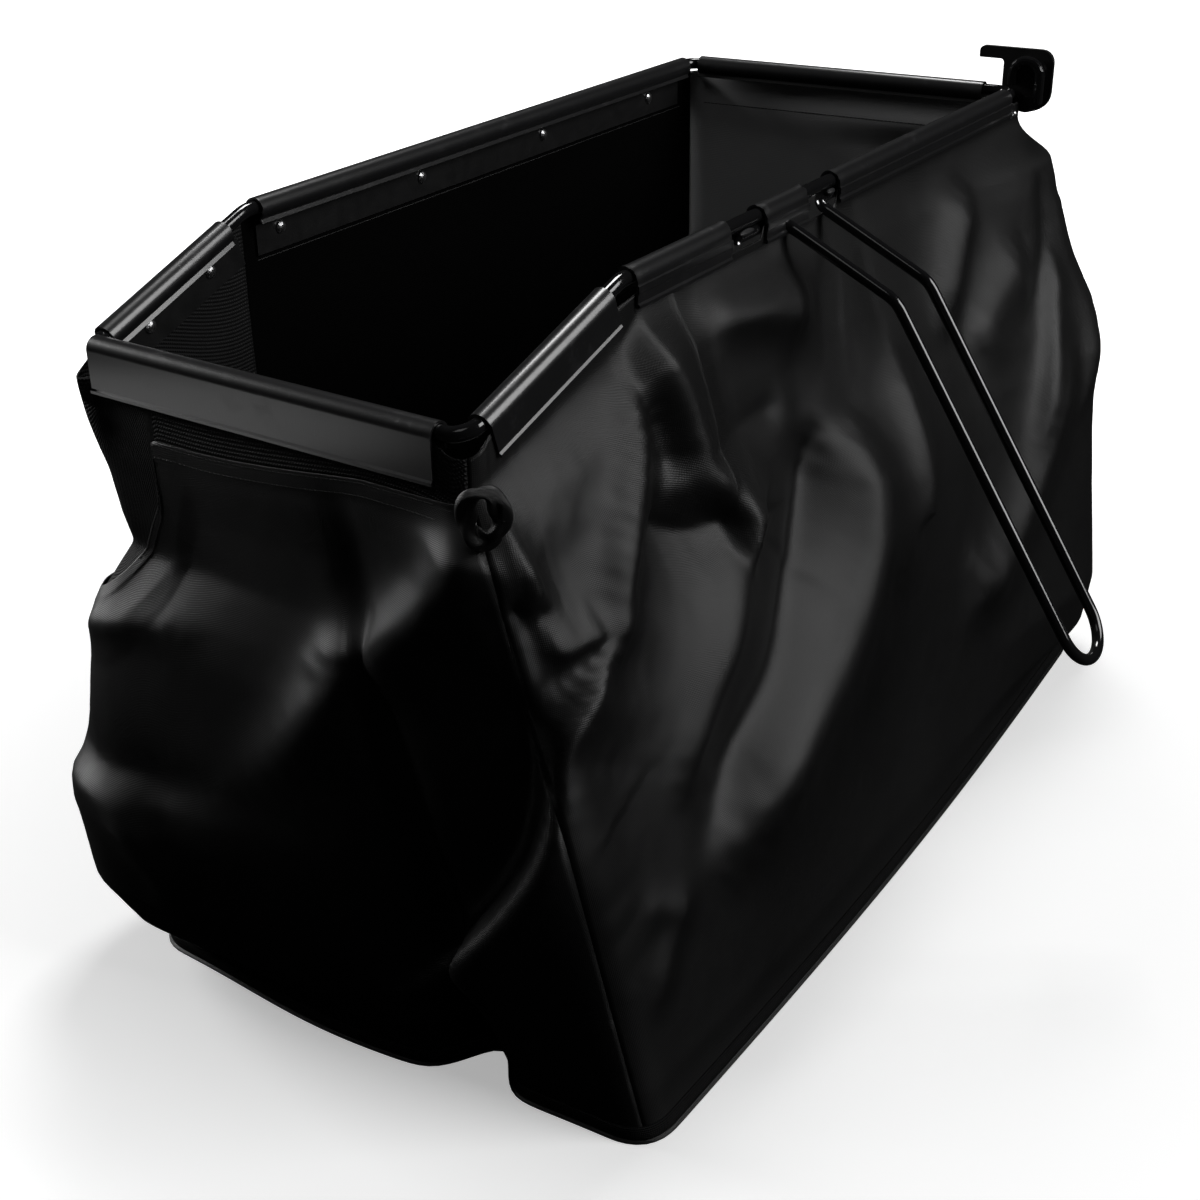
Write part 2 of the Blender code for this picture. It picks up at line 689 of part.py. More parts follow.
def wall_heights(columns, pitch, rings):
    """Heights of the rows of a full wall, from the hem in the clip to the base seam."""
    upper, _, dips, holds, _ = rings
    top = upper[columns][:, 2]
    hem = top - HEM_TOP - dips[columns]
    body_top = top - holds[columns]
    count = round((FRAME_HEIGHT - HEM_BOTTOM) / pitch)
    rows = [hem, body_top]
    for step in range(1, count + 1):
        rows.append(body_top + (BODY_BOTTOM - body_top) * step / count)
    rows.append(np.full(len(columns), WALL_BOTTOM))
    return np.array(rows)


def front_hem(columns, rings):
    """Height of the sewn top edge of the front cloth over the mesh, column by column."""
    upper, _, _, _, middle = rings
    x = upper[columns][:, 0]
    y = upper[columns][:, 1]
    z_clip = upper[columns][:, 2] - HEM_BOTTOM
    left = upper[middle[FRONT_LEFT]]
    right_x = upper[middle[FRONT_RIGHT]][0]
    drop_from_right = LAP_DROP * smooth(right_x - x, 0.0, LAP_DROP_WIDTH)
    step_down = LAP_STEP * smooth(left[0] - x, -LAP_STEP_WIDTH, 0.0)
    round_corner = LAP_CORNER * smooth(y, left[1], BEND_Y)
    front_z = FRAME_HEIGHT - FRONT_REACH * math.sin(FRONT_DROP) - HEM_BOTTOM
    return np.minimum(z_clip - HEM_LAP, front_z - drop_from_right - step_down - round_corner)


def build_wall(name, first, last, pitch, rings, collection, finish):
    """A wall of cloth between two corner columns, from the clip to the base."""
    columns = columns_between(first, last, len(rings[0]))
    grid = edge_gap(wall_points(columns, wall_heights(columns, pitch, rings), rings))
    return thickened(name, sheet_mesh(name, grid), CLOTH, True, collection, finish)


def build_lower_wall(name, first, last, rings, collection, finish):
    """A wall whose top edge is sewn over the outside of the mesh panel."""
    columns = columns_between(first, last, len(rings[0]))
    top = front_hem(columns, rings)
    count = round((FRAME_HEIGHT - HEM_BOTTOM) / ROW_PITCH) - 2
    tuck = top - TUCK
    rows = [top]
    rows += [tuck + (BODY_BOTTOM - tuck) * step / count for step in range(count + 1)]
    rows.append(np.full(len(columns), WALL_BOTTOM))
    heights = np.array(rows)
    lap = np.zeros_like(heights)
    lap[:2] = CLOTH * 2.2
    grid = edge_gap(wall_points(columns, heights, rings, lap))
    return thickened(name, sheet_mesh(name, grid), CLOTH, True, collection, finish)


def build_mesh_panel(rings, collection, finish):
    """The stiff woven panel behind the left front corner and under the front clip."""
    upper, _, dips, _, middle = rings
    columns = columns_between(middle[LEFT_BEND], middle[FRONT_RIGHT], len(upper))
    top = upper[columns][:, 2]
    hem = top - HEM_TOP - dips[columns]
    body_top = top - HEM_BOTTOM
    seam = front_hem(columns, rings)
    count = 4
    rows = [hem] + [body_top + (seam - body_top) * step / count for step in range(count + 1)]
    rows.append(seam - TUCK)
    grid = edge_gap(wall_points(columns, np.array(rows), rings))
    return thickened("mesh_panel", sheet_mesh("mesh_panel", grid), CLOTH, True, collection, finish)


def build_base(rings, collection, finish):
    """The flat bottom of the bag, which runs out under the seam binding."""
    normals = ring_normals(rings[0], rings[1])
    outline = rings[1] + normals * BASE_MARGIN
    base = flat_piece("base_panel", outline[:, :2], BASE_THICKNESS, collection, finish)
    base.location.z = BASE_THICKNESS / 2


def build_binding(rings, collection, finish):
    """A tape bound round the outside of the base seam."""
    columns = list(range(len(rings[0])))
    heights = np.array([
        np.full(len(columns), BODY_BOTTOM - FIT),
        np.full(len(columns), WALL_BOTTOM),
    ])
    grid = wall_points(columns, heights, rings, CLOTH + 2 * FIT)
    mesh = sheet_mesh("base_binding", grid, closed=True)
    thickened("base_binding", mesh, BINDING_WALL, True, collection, finish)


# Small pieces on the hem


def strip_grid(start, begin, end):
    """Outer face of a strip on the inside of the cloth, along one frame side."""
    corner, along, outward, up, _ = side_of(start)
    inner = CLOTH_OUT - FIT
    return np.array([
        [corner + along * reach + outward * inner + up * z for reach in (begin, end)]
        for z in (-STRIP_TOP, -STRIP_TOP - STRIP_HEIGHT)
    ])


def build_strips(collection, finish):
    strips = {}
    lengths = [side_of(start)[4] for start in range(6)]
    for name, start, begin, end in (
            ("backing_strip_left", REAR_LEFT, 0.018, lengths[REAR_LEFT] - 0.012),
            ("backing_strip_left_front", LEFT_BEND, 0.012, lengths[LEFT_BEND] - 0.020)):
        mesh = sheet_mesh(name, strip_grid(start, begin, end))
        strips[start] = thickened(name, mesh, STRIP_WALL, False, collection, finish)
    return strips


# Distances of the rivets from the rear left corner and from the left bend
REAR_RIVETS = (0.071, 0.239, 0.402, 0.560)
FRONT_RIVETS = (0.044, 0.107)


def rivet_profile(head, shank, length, dome):
    """Half section of a set rivet: a domed head, its shank and a flatter head at the far end."""
    cap = [(head / 2 * math.sin(a), length / 2 + dome * math.cos(a))
           for a in np.linspace(0.0, math.pi / 2, 5)]
    tail = head * 0.4
    return cap + [(shank / 2, length / 2), (shank / 2, -length / 2), (tail, -length / 2),
                  (tail, -length / 2 - dome * 0.25), (0.0, -length / 2 - dome * 0.4)]


def facing(direction):
    """Rotation that turns +Z to the direction."""
    return Vector(direction).to_track_quat("Z", "Y").to_euler()


def drill(name, spot, direction, width, cutters):
    """A round cutter through the wall at a spot."""
    shell = bmesh.new()
    bmesh.ops.create_cone(shell, cap_ends=True, segments=10, radius1=width / 2,
                          radius2=width / 2, depth=DRILL_DEPTH)
    mesh = bpy.data.meshes.new(name)
    shell.to_mesh(mesh)
    shell.free()
    made = as_cutter(bpy.data.objects.new(name, mesh), cutters)
    made.location = spot
    made.rotation_euler = facing(direction)
    return made


def left_rivet_spots():
    """Start of side, middle of the riveted stack and outward direction for each left rivet."""
    middle = (CLOTH_OUT - FIT - STRIP_WALL + CLIP_RADIUS) / 2
    spots = []
    for start, reaches in ((REAR_LEFT, REAR_RIVETS), (LEFT_BEND, FRONT_RIVETS)):
        corner, along, outward, up, _ = side_of(start)
        for reach in reaches:
            spots.append((start, corner + along * reach - up * RIVET_DROP + outward * middle,
                          outward))
    return spots


def build_left_rivets(pieces, collection, cutters, finish):
    """Rivets through the strip, the hem and the clip on the left side, in drilled holes."""
    length = CLIP_RADIUS - CLOTH_OUT + STRIP_WALL + FIT * 3
    profile = rivet_profile(RIVET_DIAMETER, RIVET_SHANK, length, RIVET_DOME)
    for number, (start, spot, outward) in enumerate(left_rivet_spots(), 1):
        rivet = turned(f"hem_rivet_{number}", profile, 12, collection, finish)
        rivet.location = spot
        rivet.rotation_euler = facing(-outward)
        hole = drill(f"rivet_hole_{number}", spot, outward, RIVET_SHANK + FIT * 4, cutters)
        for piece in pieces[start]:
            drilled(piece, [hole])


def build_corner_rivets(panel, collection, cutters, finish):
    """Two small rivets through the hem just below the hanger."""
    corner = frame_corners()[REAR_RIGHT]
    _, along, outward, _, _ = side_of(RIGHT_BEND)
    length = CLOTH + FIT * 2
    profile = rivet_profile(CORNER_RIVET_DIAMETER, RIVET_SHANK * 0.7, length, RIVET_DOME * 0.8)
    for number, back in enumerate(CORNER_RIVETS, 1):
        spot = corner - along * back + outward * (CLOTH_OUT + CLOTH / 2)
        spot[2] = corner[2] - CORNER_RIVET_DROP
        rivet = turned(f"corner_rivet_{number}", profile, 12, collection, finish)
        rivet.location = spot
        rivet.rotation_euler = facing(outward)
        width = RIVET_SHANK * 0.7 + FIT * 4
        drilled(panel, [drill(f"corner_hole_{number}", spot, outward, width, cutters)])


def build_corner_loop(rings, collection, finish):
    """A twisted loop of slack cloth that hangs against the walls' front right edge."""
    height = frame_corners()[FRONT_RIGHT][2] - LOOP_DROP
    wall = wall_points(np.array([rings[4][FRONT_RIGHT]]), np.array([height]), rings)[0]
    centre = wall + np.array(LOOP_STAND)
    turns = np.linspace(0.0, 2.0 * math.pi, 18, endpoint=False)
    round_z = np.cos(turns) * LOOP_LENGTH / 2
    round_y = -np.sin(turns) * LOOP_DEPTH / 2
    twist = 0.5 * np.sin(turns)
    grid = []
    for share in (-0.5, 0.0, 0.5):
        x = centre[0] + share * LOOP_WIDTH * np.cos(twist) + round_z * 0.15
        y = centre[1] + round_y + share * LOOP_WIDTH * np.sin(twist) * 0.4
        z = centre[2] + round_z + 0.003 * share
        grid.append(np.stack([x, y, z], axis=1))
    mesh = sheet_mesh("corner_loop", np.array(grid), closed=True)
    thickened("corner_loop", mesh, CLOTH, True, collection, finish)


# Hanger bracket


def plate_outline():
    """Outline of the hanger plate, x across and z up, measured from the frame's rear corner."""
    notch_z = PLATE_TOP - ARM_HEIGHT
    route = rounded_route(
        [(PLATE_LEFT, PLATE_BOTTOM * 0.82, 0), (PLATE_LEFT + 0.022, PLATE_BOTTOM, 0),
         (PLATE_RIGHT, PLATE_BOTTOM + 0.006, 0), (PLATE_RIGHT, PLATE_TOP, 0),
         (PLATE_LEFT - ARM_REACH, PLATE_TOP, 0), (PLATE_LEFT - ARM_REACH, notch_z, 0),
         (PLATE_LEFT, notch_z, 0)],
        [0.004, 0.010, PLATE_HEEL, PLATE_CORNER, ARM_TIP_RADIUS, 0.001, PLATE_NOTCH],
        closed=True)
    return [(point[0], point[1]) for point in route]


def build_bracket(collection, plate_finish, eye_finish):
    corner = frame_corners()[REAR_RIGHT]
    front_face = corner[1] + ROD_RADIUS + FIT
    plate = flat_piece("hanger_plate", plate_outline(), PLATE_THICKNESS, collection, plate_finish)
    plate.rotation_euler = (math.pi / 2, 0.0, 0.0)
    plate.location = (corner[0], front_face + PLATE_THICKNESS / 2, corner[2])

    eye_y = front_face - FIT - EYE_DIAMETER / 2
    left = corner[0] + EYE_CENTRE - EYE_RADIUS
    right = corner[0] + EYE_CENTRE + EYE_RADIUS
    crown = corner[2] + EYE_HEIGHT + EYE_RADIUS
    left_foot = corner[2] + ROD_RADIUS + FIT * 2 + EYE_DIAMETER * 0.1
    route = rounded_route(
        [(left, eye_y, left_foot), (left, eye_y, crown), (right, eye_y, crown),
         (right, eye_y, corner[2] - EYE_LEG)],
        [0.0, EYE_RADIUS - FIT, EYE_RADIUS - FIT, 0.0], closed=False)
    rod("hanger_eye", route, EYE_DIAMETER, False, collection, eye_finish)


def build_hanger_weld(collection, finish):
    """A bead under the rear rod where the plate is welded to it."""
    corner = frame_corners()[REAR_RIGHT]
    reach = ROD_RADIUS + HANGER_WELD + FIT
    drop = math.sqrt(reach ** 2 - (ROD_RADIUS - HANGER_WELD) ** 2)
    y = corner[1] + ROD_RADIUS - HANGER_WELD - FIT
    start = np.array((corner[0] + PLATE_LEFT + 0.001, y, corner[2] - drop))
    end = np.array((corner[0] - 0.002, y, corner[2] - drop))
    bead("hanger_weld", start, end, HANGER_WELD, collection, finish)


def hem_slots(cutters):
    """Boxes that open the right hem at the notches, and round the handle's front leg."""
    front, rear = handle_feet()
    x = front[0]
    leg = HANDLE_RADIUS + 2.5 * FIT
    slots = (
        (NOTCHES[0][0] + 0.002, NOTCHES[0][1] - 0.002, SLOT_SHALLOW),
        (front[1] - leg * 2, front[1] + leg, SLOT_DEEP),
        (NOTCHES[1][0] + 0.002, NOTCHES[1][1] - 0.002, SLOT_DEEP),
    )
    return [
        box_cutter(f"hem_slot_{number}", (x, start, FRAME_HEIGHT - depth),
                   (x + 0.03, end, FRAME_HEIGHT + 0.01), cutters)
        for number, (start, end, depth) in enumerate(slots, 1)
    ]


def hanger_slot(cutters):
    """A box that keeps the rear hem below the hanger plate."""
    corner = frame_corners()[REAR_RIGHT]
    low = corner + np.array((PLATE_LEFT - 0.001, 0.0, PLATE_BOTTOM - 0.0015))
    return box_cutter("hanger_slot", low, corner + np.array((0.03, 0.03, 0.01)), cutters)


def build():
    """Makes every piece of the grass catcher."""
    clear_scene()
    parts = new_collection(PRODUCT)
    cutters = new_collection("cutters")
    rod_black = material("gloss black rod", (0.012, 0.012, 0.013), 0.22)
    clip_black = material("black extruded clip", (0.03, 0.03, 0.032), 0.35)
    plate_black = material("black steel plate", (0.02, 0.02, 0.021), 0.40)
    weld_black = material("painted weld", (0.02, 0.02, 0.02), 0.50)
    steel = material("bright steel", (0.75, 0.75, 0.76), 0.25, 1.0)
    cloth = material("black woven cloth", (0.012, 0.012, 0.013), 0.85)
    lining = material("black lining cloth", (0.008, 0.008, 0.008), 0.90)
    mesh_cloth = material("black coarse mesh", (0.030, 0.030, 0.031), 0.80)
    tape = material("black binding tape", (0.030, 0.030, 0.031), 0.70)

    build_frame(parts, rod_black)
    build_handle(parts, rod_black)
    build_handle_welds(parts, weld_black)
    past_frame = rod_clearance("frame_clearance", frame_route(), ROD_DIAMETER + FIT, True,
                               cutters, rod_black)
    past_handle = rod_clearance("handle_clearance", handle_route(), HANDLE_DIAMETER + 2 * FIT,
                                False, cutters, rod_black)
    clips = {}
    for run in clip_runs():
        past = [past_frame, past_handle] if run[0] in HANDLE_CLIPS else [past_frame]
        clips[run[0]] = build_clip(*run, past, parts, clip_black)

    rings = bag_rings()
    middle = rings[4]
    coarse = build_mesh_panel(rings, parts, mesh_cloth)
    build_lower_wall("front_panel", middle[FRONT_LEFT], middle[FRONT_RIGHT], rings, parts, cloth)
    build_lower_wall("left_front_panel", middle[LEFT_BEND], middle[FRONT_LEFT], rings, parts, cloth)
    right = build_wall("right_panel", middle[FRONT_RIGHT], middle[REAR_RIGHT], ROW_PITCH, rings,
                       parts, cloth)
    rear = build_wall("rear_panel", middle[REAR_RIGHT], middle[REAR_LEFT], ROW_PITCH, rings,
                      parts, cloth)
    drilled(rear, [hanger_slot(cutters)])
    drilled(right, hem_slots(cutters))
    left = build_wall("left_panel", middle[REAR_LEFT], middle[LEFT_BEND], LEFT_ROW_PITCH, rings,
                      parts, lining)
    build_base(rings, parts, cloth)
    build_binding(rings, parts, tape)
    build_corner_loop(rings, parts, cloth)

    strips = build_strips(parts, plate_black)
    riveted = {REAR_LEFT: (strips[REAR_LEFT], left, clips["clip_left"]),
               LEFT_BEND: (strips[LEFT_BEND], coarse, clips["clip_left_front"])}
    build_left_rivets(riveted, parts, cutters, steel)
    build_corner_rivets(right, parts, cutters, steel)
    build_bracket(parts, plate_black, rod_black)
    build_hanger_weld(parts, weld_black)


build()
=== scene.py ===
"""Looks of the grass catcher: its slack cloth bag, hems, threads, rods and every finish.

Metres, in the part's own frame: the origin is the middle of the base, +Z is up, +Y runs to the
rear and +X to the side with the handle.
"""

import json
import math

import bpy
import numpy as np
from bpy.props import FloatProperty, FloatVectorProperty, IntProperty, PointerProperty
from mathutils import Matrix


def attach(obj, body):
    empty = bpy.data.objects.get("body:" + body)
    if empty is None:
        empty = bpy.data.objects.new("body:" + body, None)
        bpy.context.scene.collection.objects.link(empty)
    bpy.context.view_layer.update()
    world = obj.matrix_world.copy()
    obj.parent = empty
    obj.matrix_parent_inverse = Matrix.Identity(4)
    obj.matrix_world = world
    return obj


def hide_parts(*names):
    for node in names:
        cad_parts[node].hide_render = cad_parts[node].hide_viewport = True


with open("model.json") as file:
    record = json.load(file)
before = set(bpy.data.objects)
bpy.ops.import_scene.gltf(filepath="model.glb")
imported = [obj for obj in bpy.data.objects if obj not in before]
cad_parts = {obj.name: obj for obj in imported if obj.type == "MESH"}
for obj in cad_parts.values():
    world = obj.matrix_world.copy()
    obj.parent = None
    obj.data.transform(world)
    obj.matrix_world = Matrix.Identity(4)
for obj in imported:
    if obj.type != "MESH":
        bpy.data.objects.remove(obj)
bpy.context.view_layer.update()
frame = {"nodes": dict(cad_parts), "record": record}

bl_info = {
    "name": "Grass Catcher",
    "version": (1, 0, 0),
    "blender": (4, 5, 0),
    "location": "View3D > Sidebar > Grass Catcher",
    "description": "Builds the cloth bag, its hems, threads and finishes over the catcher's frame",
    "category": "Add Mesh",
}

# Corners of the frame, counted round the mouth; a side has the number of its first corner
FRONT_LEFT, FRONT_RIGHT, RIGHT_BEND, REAR_RIGHT, REAR_LEFT, LEFT_BEND = range(6)

# Frame, handle and clips, as on the solid part
FIT = 0.0003
ROD_DIAMETER = 0.0095
FRAME_HEIGHT = 0.484
FRAME_CENTRE_X = -0.053
FRONT_WIDTH = 0.285
BEND_WIDTH = 0.296
REAR_WIDTH = 0.304
BEND_Y = -0.221
REAR_Y = 0.385
FRONT_REACH = 0.1545
FRONT_DROP = math.radians(18)
BEND_SKEW = 0.006
REAR_SKEW = 0.004
CORNER_RADIUS = 0.014
BEND_RADIUS = 0.035
HANDLE_DIAMETER = 0.008
HANDLE_Y = -0.006
HANDLE_SPACING = 0.0516
HANDLE_KINK_REACH = 0.086
HANDLE_KINK_DROP = 0.043
HANDLE_LENGTH = 0.274
HANDLE_SLOPE = math.radians(57.5)
HANDLE_FOOT = 0.058
HANDLE_FOOT_RADIUS = 0.013
HANDLE_KINK_RADIUS = 0.026
CLIP_BORE = 0.0132
CLIP_WALL = 0.0014
CLIP_WRAP = math.radians(232)
CLIP_LIP = 0.0025
SKIRT_DEPTH = 0.028
SIDE_SKIRT_DEPTH = 0.0175
SKIRT_BEAD = 0.0012
SKIRT_BEAD_HEIGHT = 0.003
RIDGE = 0.0008
RIDGE_TOP = 0.0045
GROOVE_DROP = 0.0085
NOTCHES = ((-0.1075, -0.064), (-0.003, 0.0425))
STRIP_TOP = 0.013
STRIP_HEIGHT = 0.021

# Bag
CLOTH = 0.0012
HEM_TOP = 0.006
HEM_BOTTOM = 0.0315
SIDE_HEM_BOTTOM = 0.0195
HEM_CORNERS = (0.014, 0.018, 0.020, 0.012, 0.016, 0.012)
HEM_DIPS = (0.014, 0.006, 0.003, 0.004, 0.002, 0.002)
BASE_THICKNESS = 0.0015
BASE_LEFT = -0.199
BASE_RIGHT = 0.202
BASE_FRONT = -0.376
BASE_REAR = 0.376
BASE_SIDE_SWELL = 0.009
BASE_FRONT_SWELL = 0.014
BASE_FRONT_DENT = 0.036
BASE_CORNER = 0.026
BASE_MARGIN = 0.0042
BINDING_HEIGHT = 0.009
BASE_COLUMNS = 70
BASE_ROWS = 130
HEM_LAP = 0.004
HEM_FALL = 0.016
HEM_ROUND = 0.040
STEP_PLACE = 0.052
STEP_SOFT = 0.005
STEP_DEPTH = 0.038
CUT_WIDTH = 0.049
CUT_DEPTH = 0.074
TUCK = 0.022
LAP_STAND = 0.00264
LAP_FADE = 0.027
TURNED_EDGE = 0.010
TURNED_STAND = 0.0006
SLOT_SHALLOW = 0.0138
SLOT_DEEP = 0.0175
SEAM_BACK = 0.052
LAP_NEAR = 4
MESH_STAND = 0.010
LOOP_PLACE = (0.0205, -0.0155, -0.034)
LOOP_ACROSS = (0.729, 0.685, 0.0)
LOOP_WIDTH = 0.0092
LOOP_HEIGHT = 0.0145
LOOP_ROLL = 0.0056
TAPE = 0.0008
PLATE_LEFT = -0.0135
PLATE_BOTTOM = -0.017

ROD_RADIUS = ROD_DIAMETER / 2
HANDLE_RADIUS = HANDLE_DIAMETER / 2
CLIP_RADIUS = CLIP_BORE / 2 + CLIP_WALL
CLIP_CENTRE_DROP = CLIP_BORE / 2 - ROD_RADIUS - FIT
CLOTH_OUT = CLIP_RADIUS - CLIP_WALL - FIT - CLOTH
HOLDS = (HEM_BOTTOM, HEM_BOTTOM, SIDE_HEM_BOTTOM, HEM_BOTTOM, HEM_BOTTOM, HEM_BOTTOM)
WALL_BOTTOM = BASE_THICKNESS + FIT
BODY_BOTTOM = WALL_BOTTOM + BINDING_HEIGHT
UP = np.array((0.0, 0.0, 1.0))


# Stage: the middle that the lamps point at, each lamp's place from it and size, and the camera.
# The camera was fitted to the frame in the photo. The directions of the main lamps were fitted
# to its shading, together with the folds.
STAGE_MIDDLE = (0.0, 0.0, 0.22)
LAMPS = {
    "top": ((-0.95, 2.15, 4.40), 1.5),
    "right": ((4.03, 1.15, 2.72), 3.0),
    "left": ((-4.63, -0.40, 1.88), 1.8),
    "front": ((0.30, -2.60, 4.30), 1.8),
}
# A spot on the floor that glows only for reflected rays, a painted reflection: its place, and where
# its soft edge begins and ends
REFLECTED_SPOT = (-1.00, -1.10, 0.0)
SPOT_INNER = 0.18
SPOT_OUTER = 0.36
FLOOR_HALF = 9.0
CAMERA_PLACE = (0.6127, -1.0681, 0.7814)
CAMERA_TURN = math.radians(32.44)
CAMERA_RISE = math.radians(26.95)
CAMERA_ROLL = math.radians(-0.863)

# Sizes and colours that can be changed in the sidebar


class ClothSettings(bpy.types.PropertyGroup):
    """Sizes of the bag's cloth and of its threads."""

    column_pitch: FloatProperty(
        name="Column pitch", description="Distance between columns of the cloth's grid",
        default=0.0034, min=0.001, max=0.02, unit="LENGTH")
    row_pitch: FloatProperty(
        name="Row pitch", description="Distance between rows of the cloth's grid",
        default=0.0034, min=0.001, max=0.02, unit="LENGTH")
    thickness: FloatProperty(
        name="Thickness", description="Thickness of the cloth", default=0.0009, min=0.0002,
        max=0.0012, unit="LENGTH")
    fold_share: FloatProperty(
        name="Folds", description="How deep the folds are, as a share of their full depth",
        default=1.0, min=0.0, max=1.2, subtype="FACTOR")
    crumple: FloatProperty(
        name="Crumple", description="Height of the small wrinkles", default=0.0011, min=0.0,
        max=0.004, unit="LENGTH")
    stitch: FloatProperty(
        name="Stitch", description="Length of one stitch", default=0.0036, min=0.001, max=0.01,
        unit="LENGTH")
    thread: FloatProperty(
        name="Thread", description="Diameter of the sewing thread", default=0.0006, min=0.0002,
        max=0.002, unit="LENGTH")
    colour: FloatVectorProperty(
        name="Cloth colour", description="Colour of the outer cloth", subtype="COLOR",
        default=(0.0015, 0.0015, 0.0016), min=0.0, max=1.0)
    lining_colour: FloatVectorProperty(
        name="Lining colour", description="Colour of the left wall's inside", subtype="COLOR",
        default=(0.0012, 0.0012, 0.0012), min=0.0, max=1.0)


class HardwareSettings(bpy.types.PropertyGroup):
    """Sizes and colours of the rods and clips."""

    rod_sides: IntProperty(
        name="Rod sides", description="Faces round a rod", default=32, min=8, max=96)
    rod_colour: FloatVectorProperty(
        name="Rod colour", description="Colour of the enamel", subtype="COLOR",
        default=(0.008, 0.008, 0.0085), min=0.0, max=1.0)
    clip_colour: FloatVectorProperty(
        name="Clip colour", description="Colour of the plastic clips", subtype="COLOR",
        default=(0.008, 0.008, 0.0086), min=0.0, max=1.0)
    tear: FloatProperty(
        name="Torn ends", description="How far the torn ends of the clips are ragged",
        default=0.0026, min=0.0, max=0.006, unit="LENGTH")


class StageSettings(bpy.types.PropertyGroup):
    """Floor, lamps and camera."""

    top_power: FloatProperty(
        name="Top lamp", description="Power of the large lamp overhead", default=90.0, min=0.0,
        max=500.0, unit="POWER")
    right_power: FloatProperty(
        name="Right lamp", description="Power of the lamp on the handle's side", default=138.0,
        min=0.0, max=500.0, unit="POWER")
    left_power: FloatProperty(
        name="Left lamp", description="Power of the lamp at the left", default=130.0,
        min=0.0, max=500.0, unit="POWER")
    front_power: FloatProperty(
        name="Front lamp", description="Power of the lamp high in front", default=6.0,
        min=0.0, max=500.0, unit="POWER")
    lens: FloatProperty(
        name="Lens", description="Focal length of the camera in millimetres", default=53.31,
        min=20.0, max=200.0)


# Vectors and smooth steps


def unit(vector):
    """The vector at length one."""
    return vector / np.linalg.norm(vector)


def smooth(value, start, end):
    """Rises from 0 at start to 1 at end as 3t^2 - 2t^3."""
    t = np.clip((value - start) / (end - start), 0.0, 1.0)
    return t * t * (3.0 - 2.0 * t)


def rounded_route(points, radii, closed, arc_step=math.radians(6)):
    """Straight lines between points, with an arc of the given radius in place of each bend."""
    points = [np.asarray(point, float) for point in points]
    count = len(points)
    route = []
    for index, (point, radius) in enumerate(zip(points, radii)):
        at_end = index in (0, count - 1) and not closed
        if at_end or radius == 0.0:
            route.append(point)
            continue
        come = unit(point - points[index - 1])
        go = unit(points[(index + 1) % count] - point)
        turn = math.acos(float(np.clip(come @ go, -1.0, 1.0)))
        inward = unit(go - come * (come @ go))
        start = point - come * radius * math.tan(turn / 2)
        for angle in np.linspace(0.0, turn, max(3, math.ceil(turn / arc_step)) + 1):
            route.append(start + come * radius * math.sin(angle)
                         + inward * radius * (1.0 - math.cos(angle)))
    return np.array(route)


def travelled(grid, axis=0):
    """Distance travelled along one axis of a path or a grid of points."""
    steps = np.linalg.norm(np.diff(grid, axis=axis), axis=-1)
    first = np.zeros_like(np.take(grid[..., 0], [0], axis=axis))
    return np.cumsum(np.concatenate([first, steps], axis=axis), axis=axis)


def evenly(path, count):
    """So many points at equal distances along a path, and how far along each one is."""
    travel = travelled(path)
    steps = np.linspace(0.0, travel[-1], count)
    return np.stack([np.interp(steps, travel, path[:, k]) for k in range(3)], axis=1), steps


def resampled(path, spacing):
    """The path again, at equal steps of about the spacing, and how far along each point is."""
    return evenly(path, max(2, round(travelled(path)[-1] / spacing)) + 1)


def patch_between(front, right, rear, left):
    """A patch between four edges: front-rear blend plus left-right blend less corner blend."""
    s = np.linspace(0.0, 1.0, len(front))[:, None, None]
    t = np.linspace(0.0, 1.0, len(left))[None, :, None]
    lengthwise = (1.0 - t) * front[:, None] + t * rear[:, None]
    crosswise = (1.0 - s) * left[None] + s * right[None]
    corners = ((1.0 - s) * (1.0 - t) * front[0] + s * (1.0 - t) * front[-1]
               + (1.0 - s) * t * rear[0] + s * t * rear[-1])
    return lengthwise + crosswise - corners


def ripple(points, pitch, seed, octaves=4):
    """Soft noise between about -1 and 1: sines along seeded directions, added up."""
    random = np.random.default_rng(seed)
    total = np.zeros(points.shape[:-1])
    for octave in range(octaves):
        for _ in range(5):
            way = unit(random.normal(size=3)) * 2.0 * math.pi / pitch * 1.7 ** octave
            phase = random.uniform(0.0, 2.0 * math.pi)
            bend = random.uniform(0.6, 1.4)
            lean = np.roll(points, 1, axis=-1) @ way * 0.45 + phase * 2.0
            total += np.sin(points @ way + phase + bend * np.sin(lean)) / 1.6 ** octave
    return total / (5.0 * 1.2)


# Meshes from grids of points


def grid_faces(rows, columns, closed_rows, closed_columns):
    """Corner numbers of the quads of a grid, closed along either axis."""
    i = np.arange(rows if closed_rows else rows - 1)
    j = np.arange(columns if closed_columns else columns - 1)
    i, j = np.meshgrid(i, j, indexing="ij")
    below = (i + 1) % rows
    beside = (j + 1) % columns
    corners = [i * columns + j, below * columns + j, below * columns + beside,
               i * columns + beside]
    return np.stack(corners, axis=-1).reshape(-1, 4)


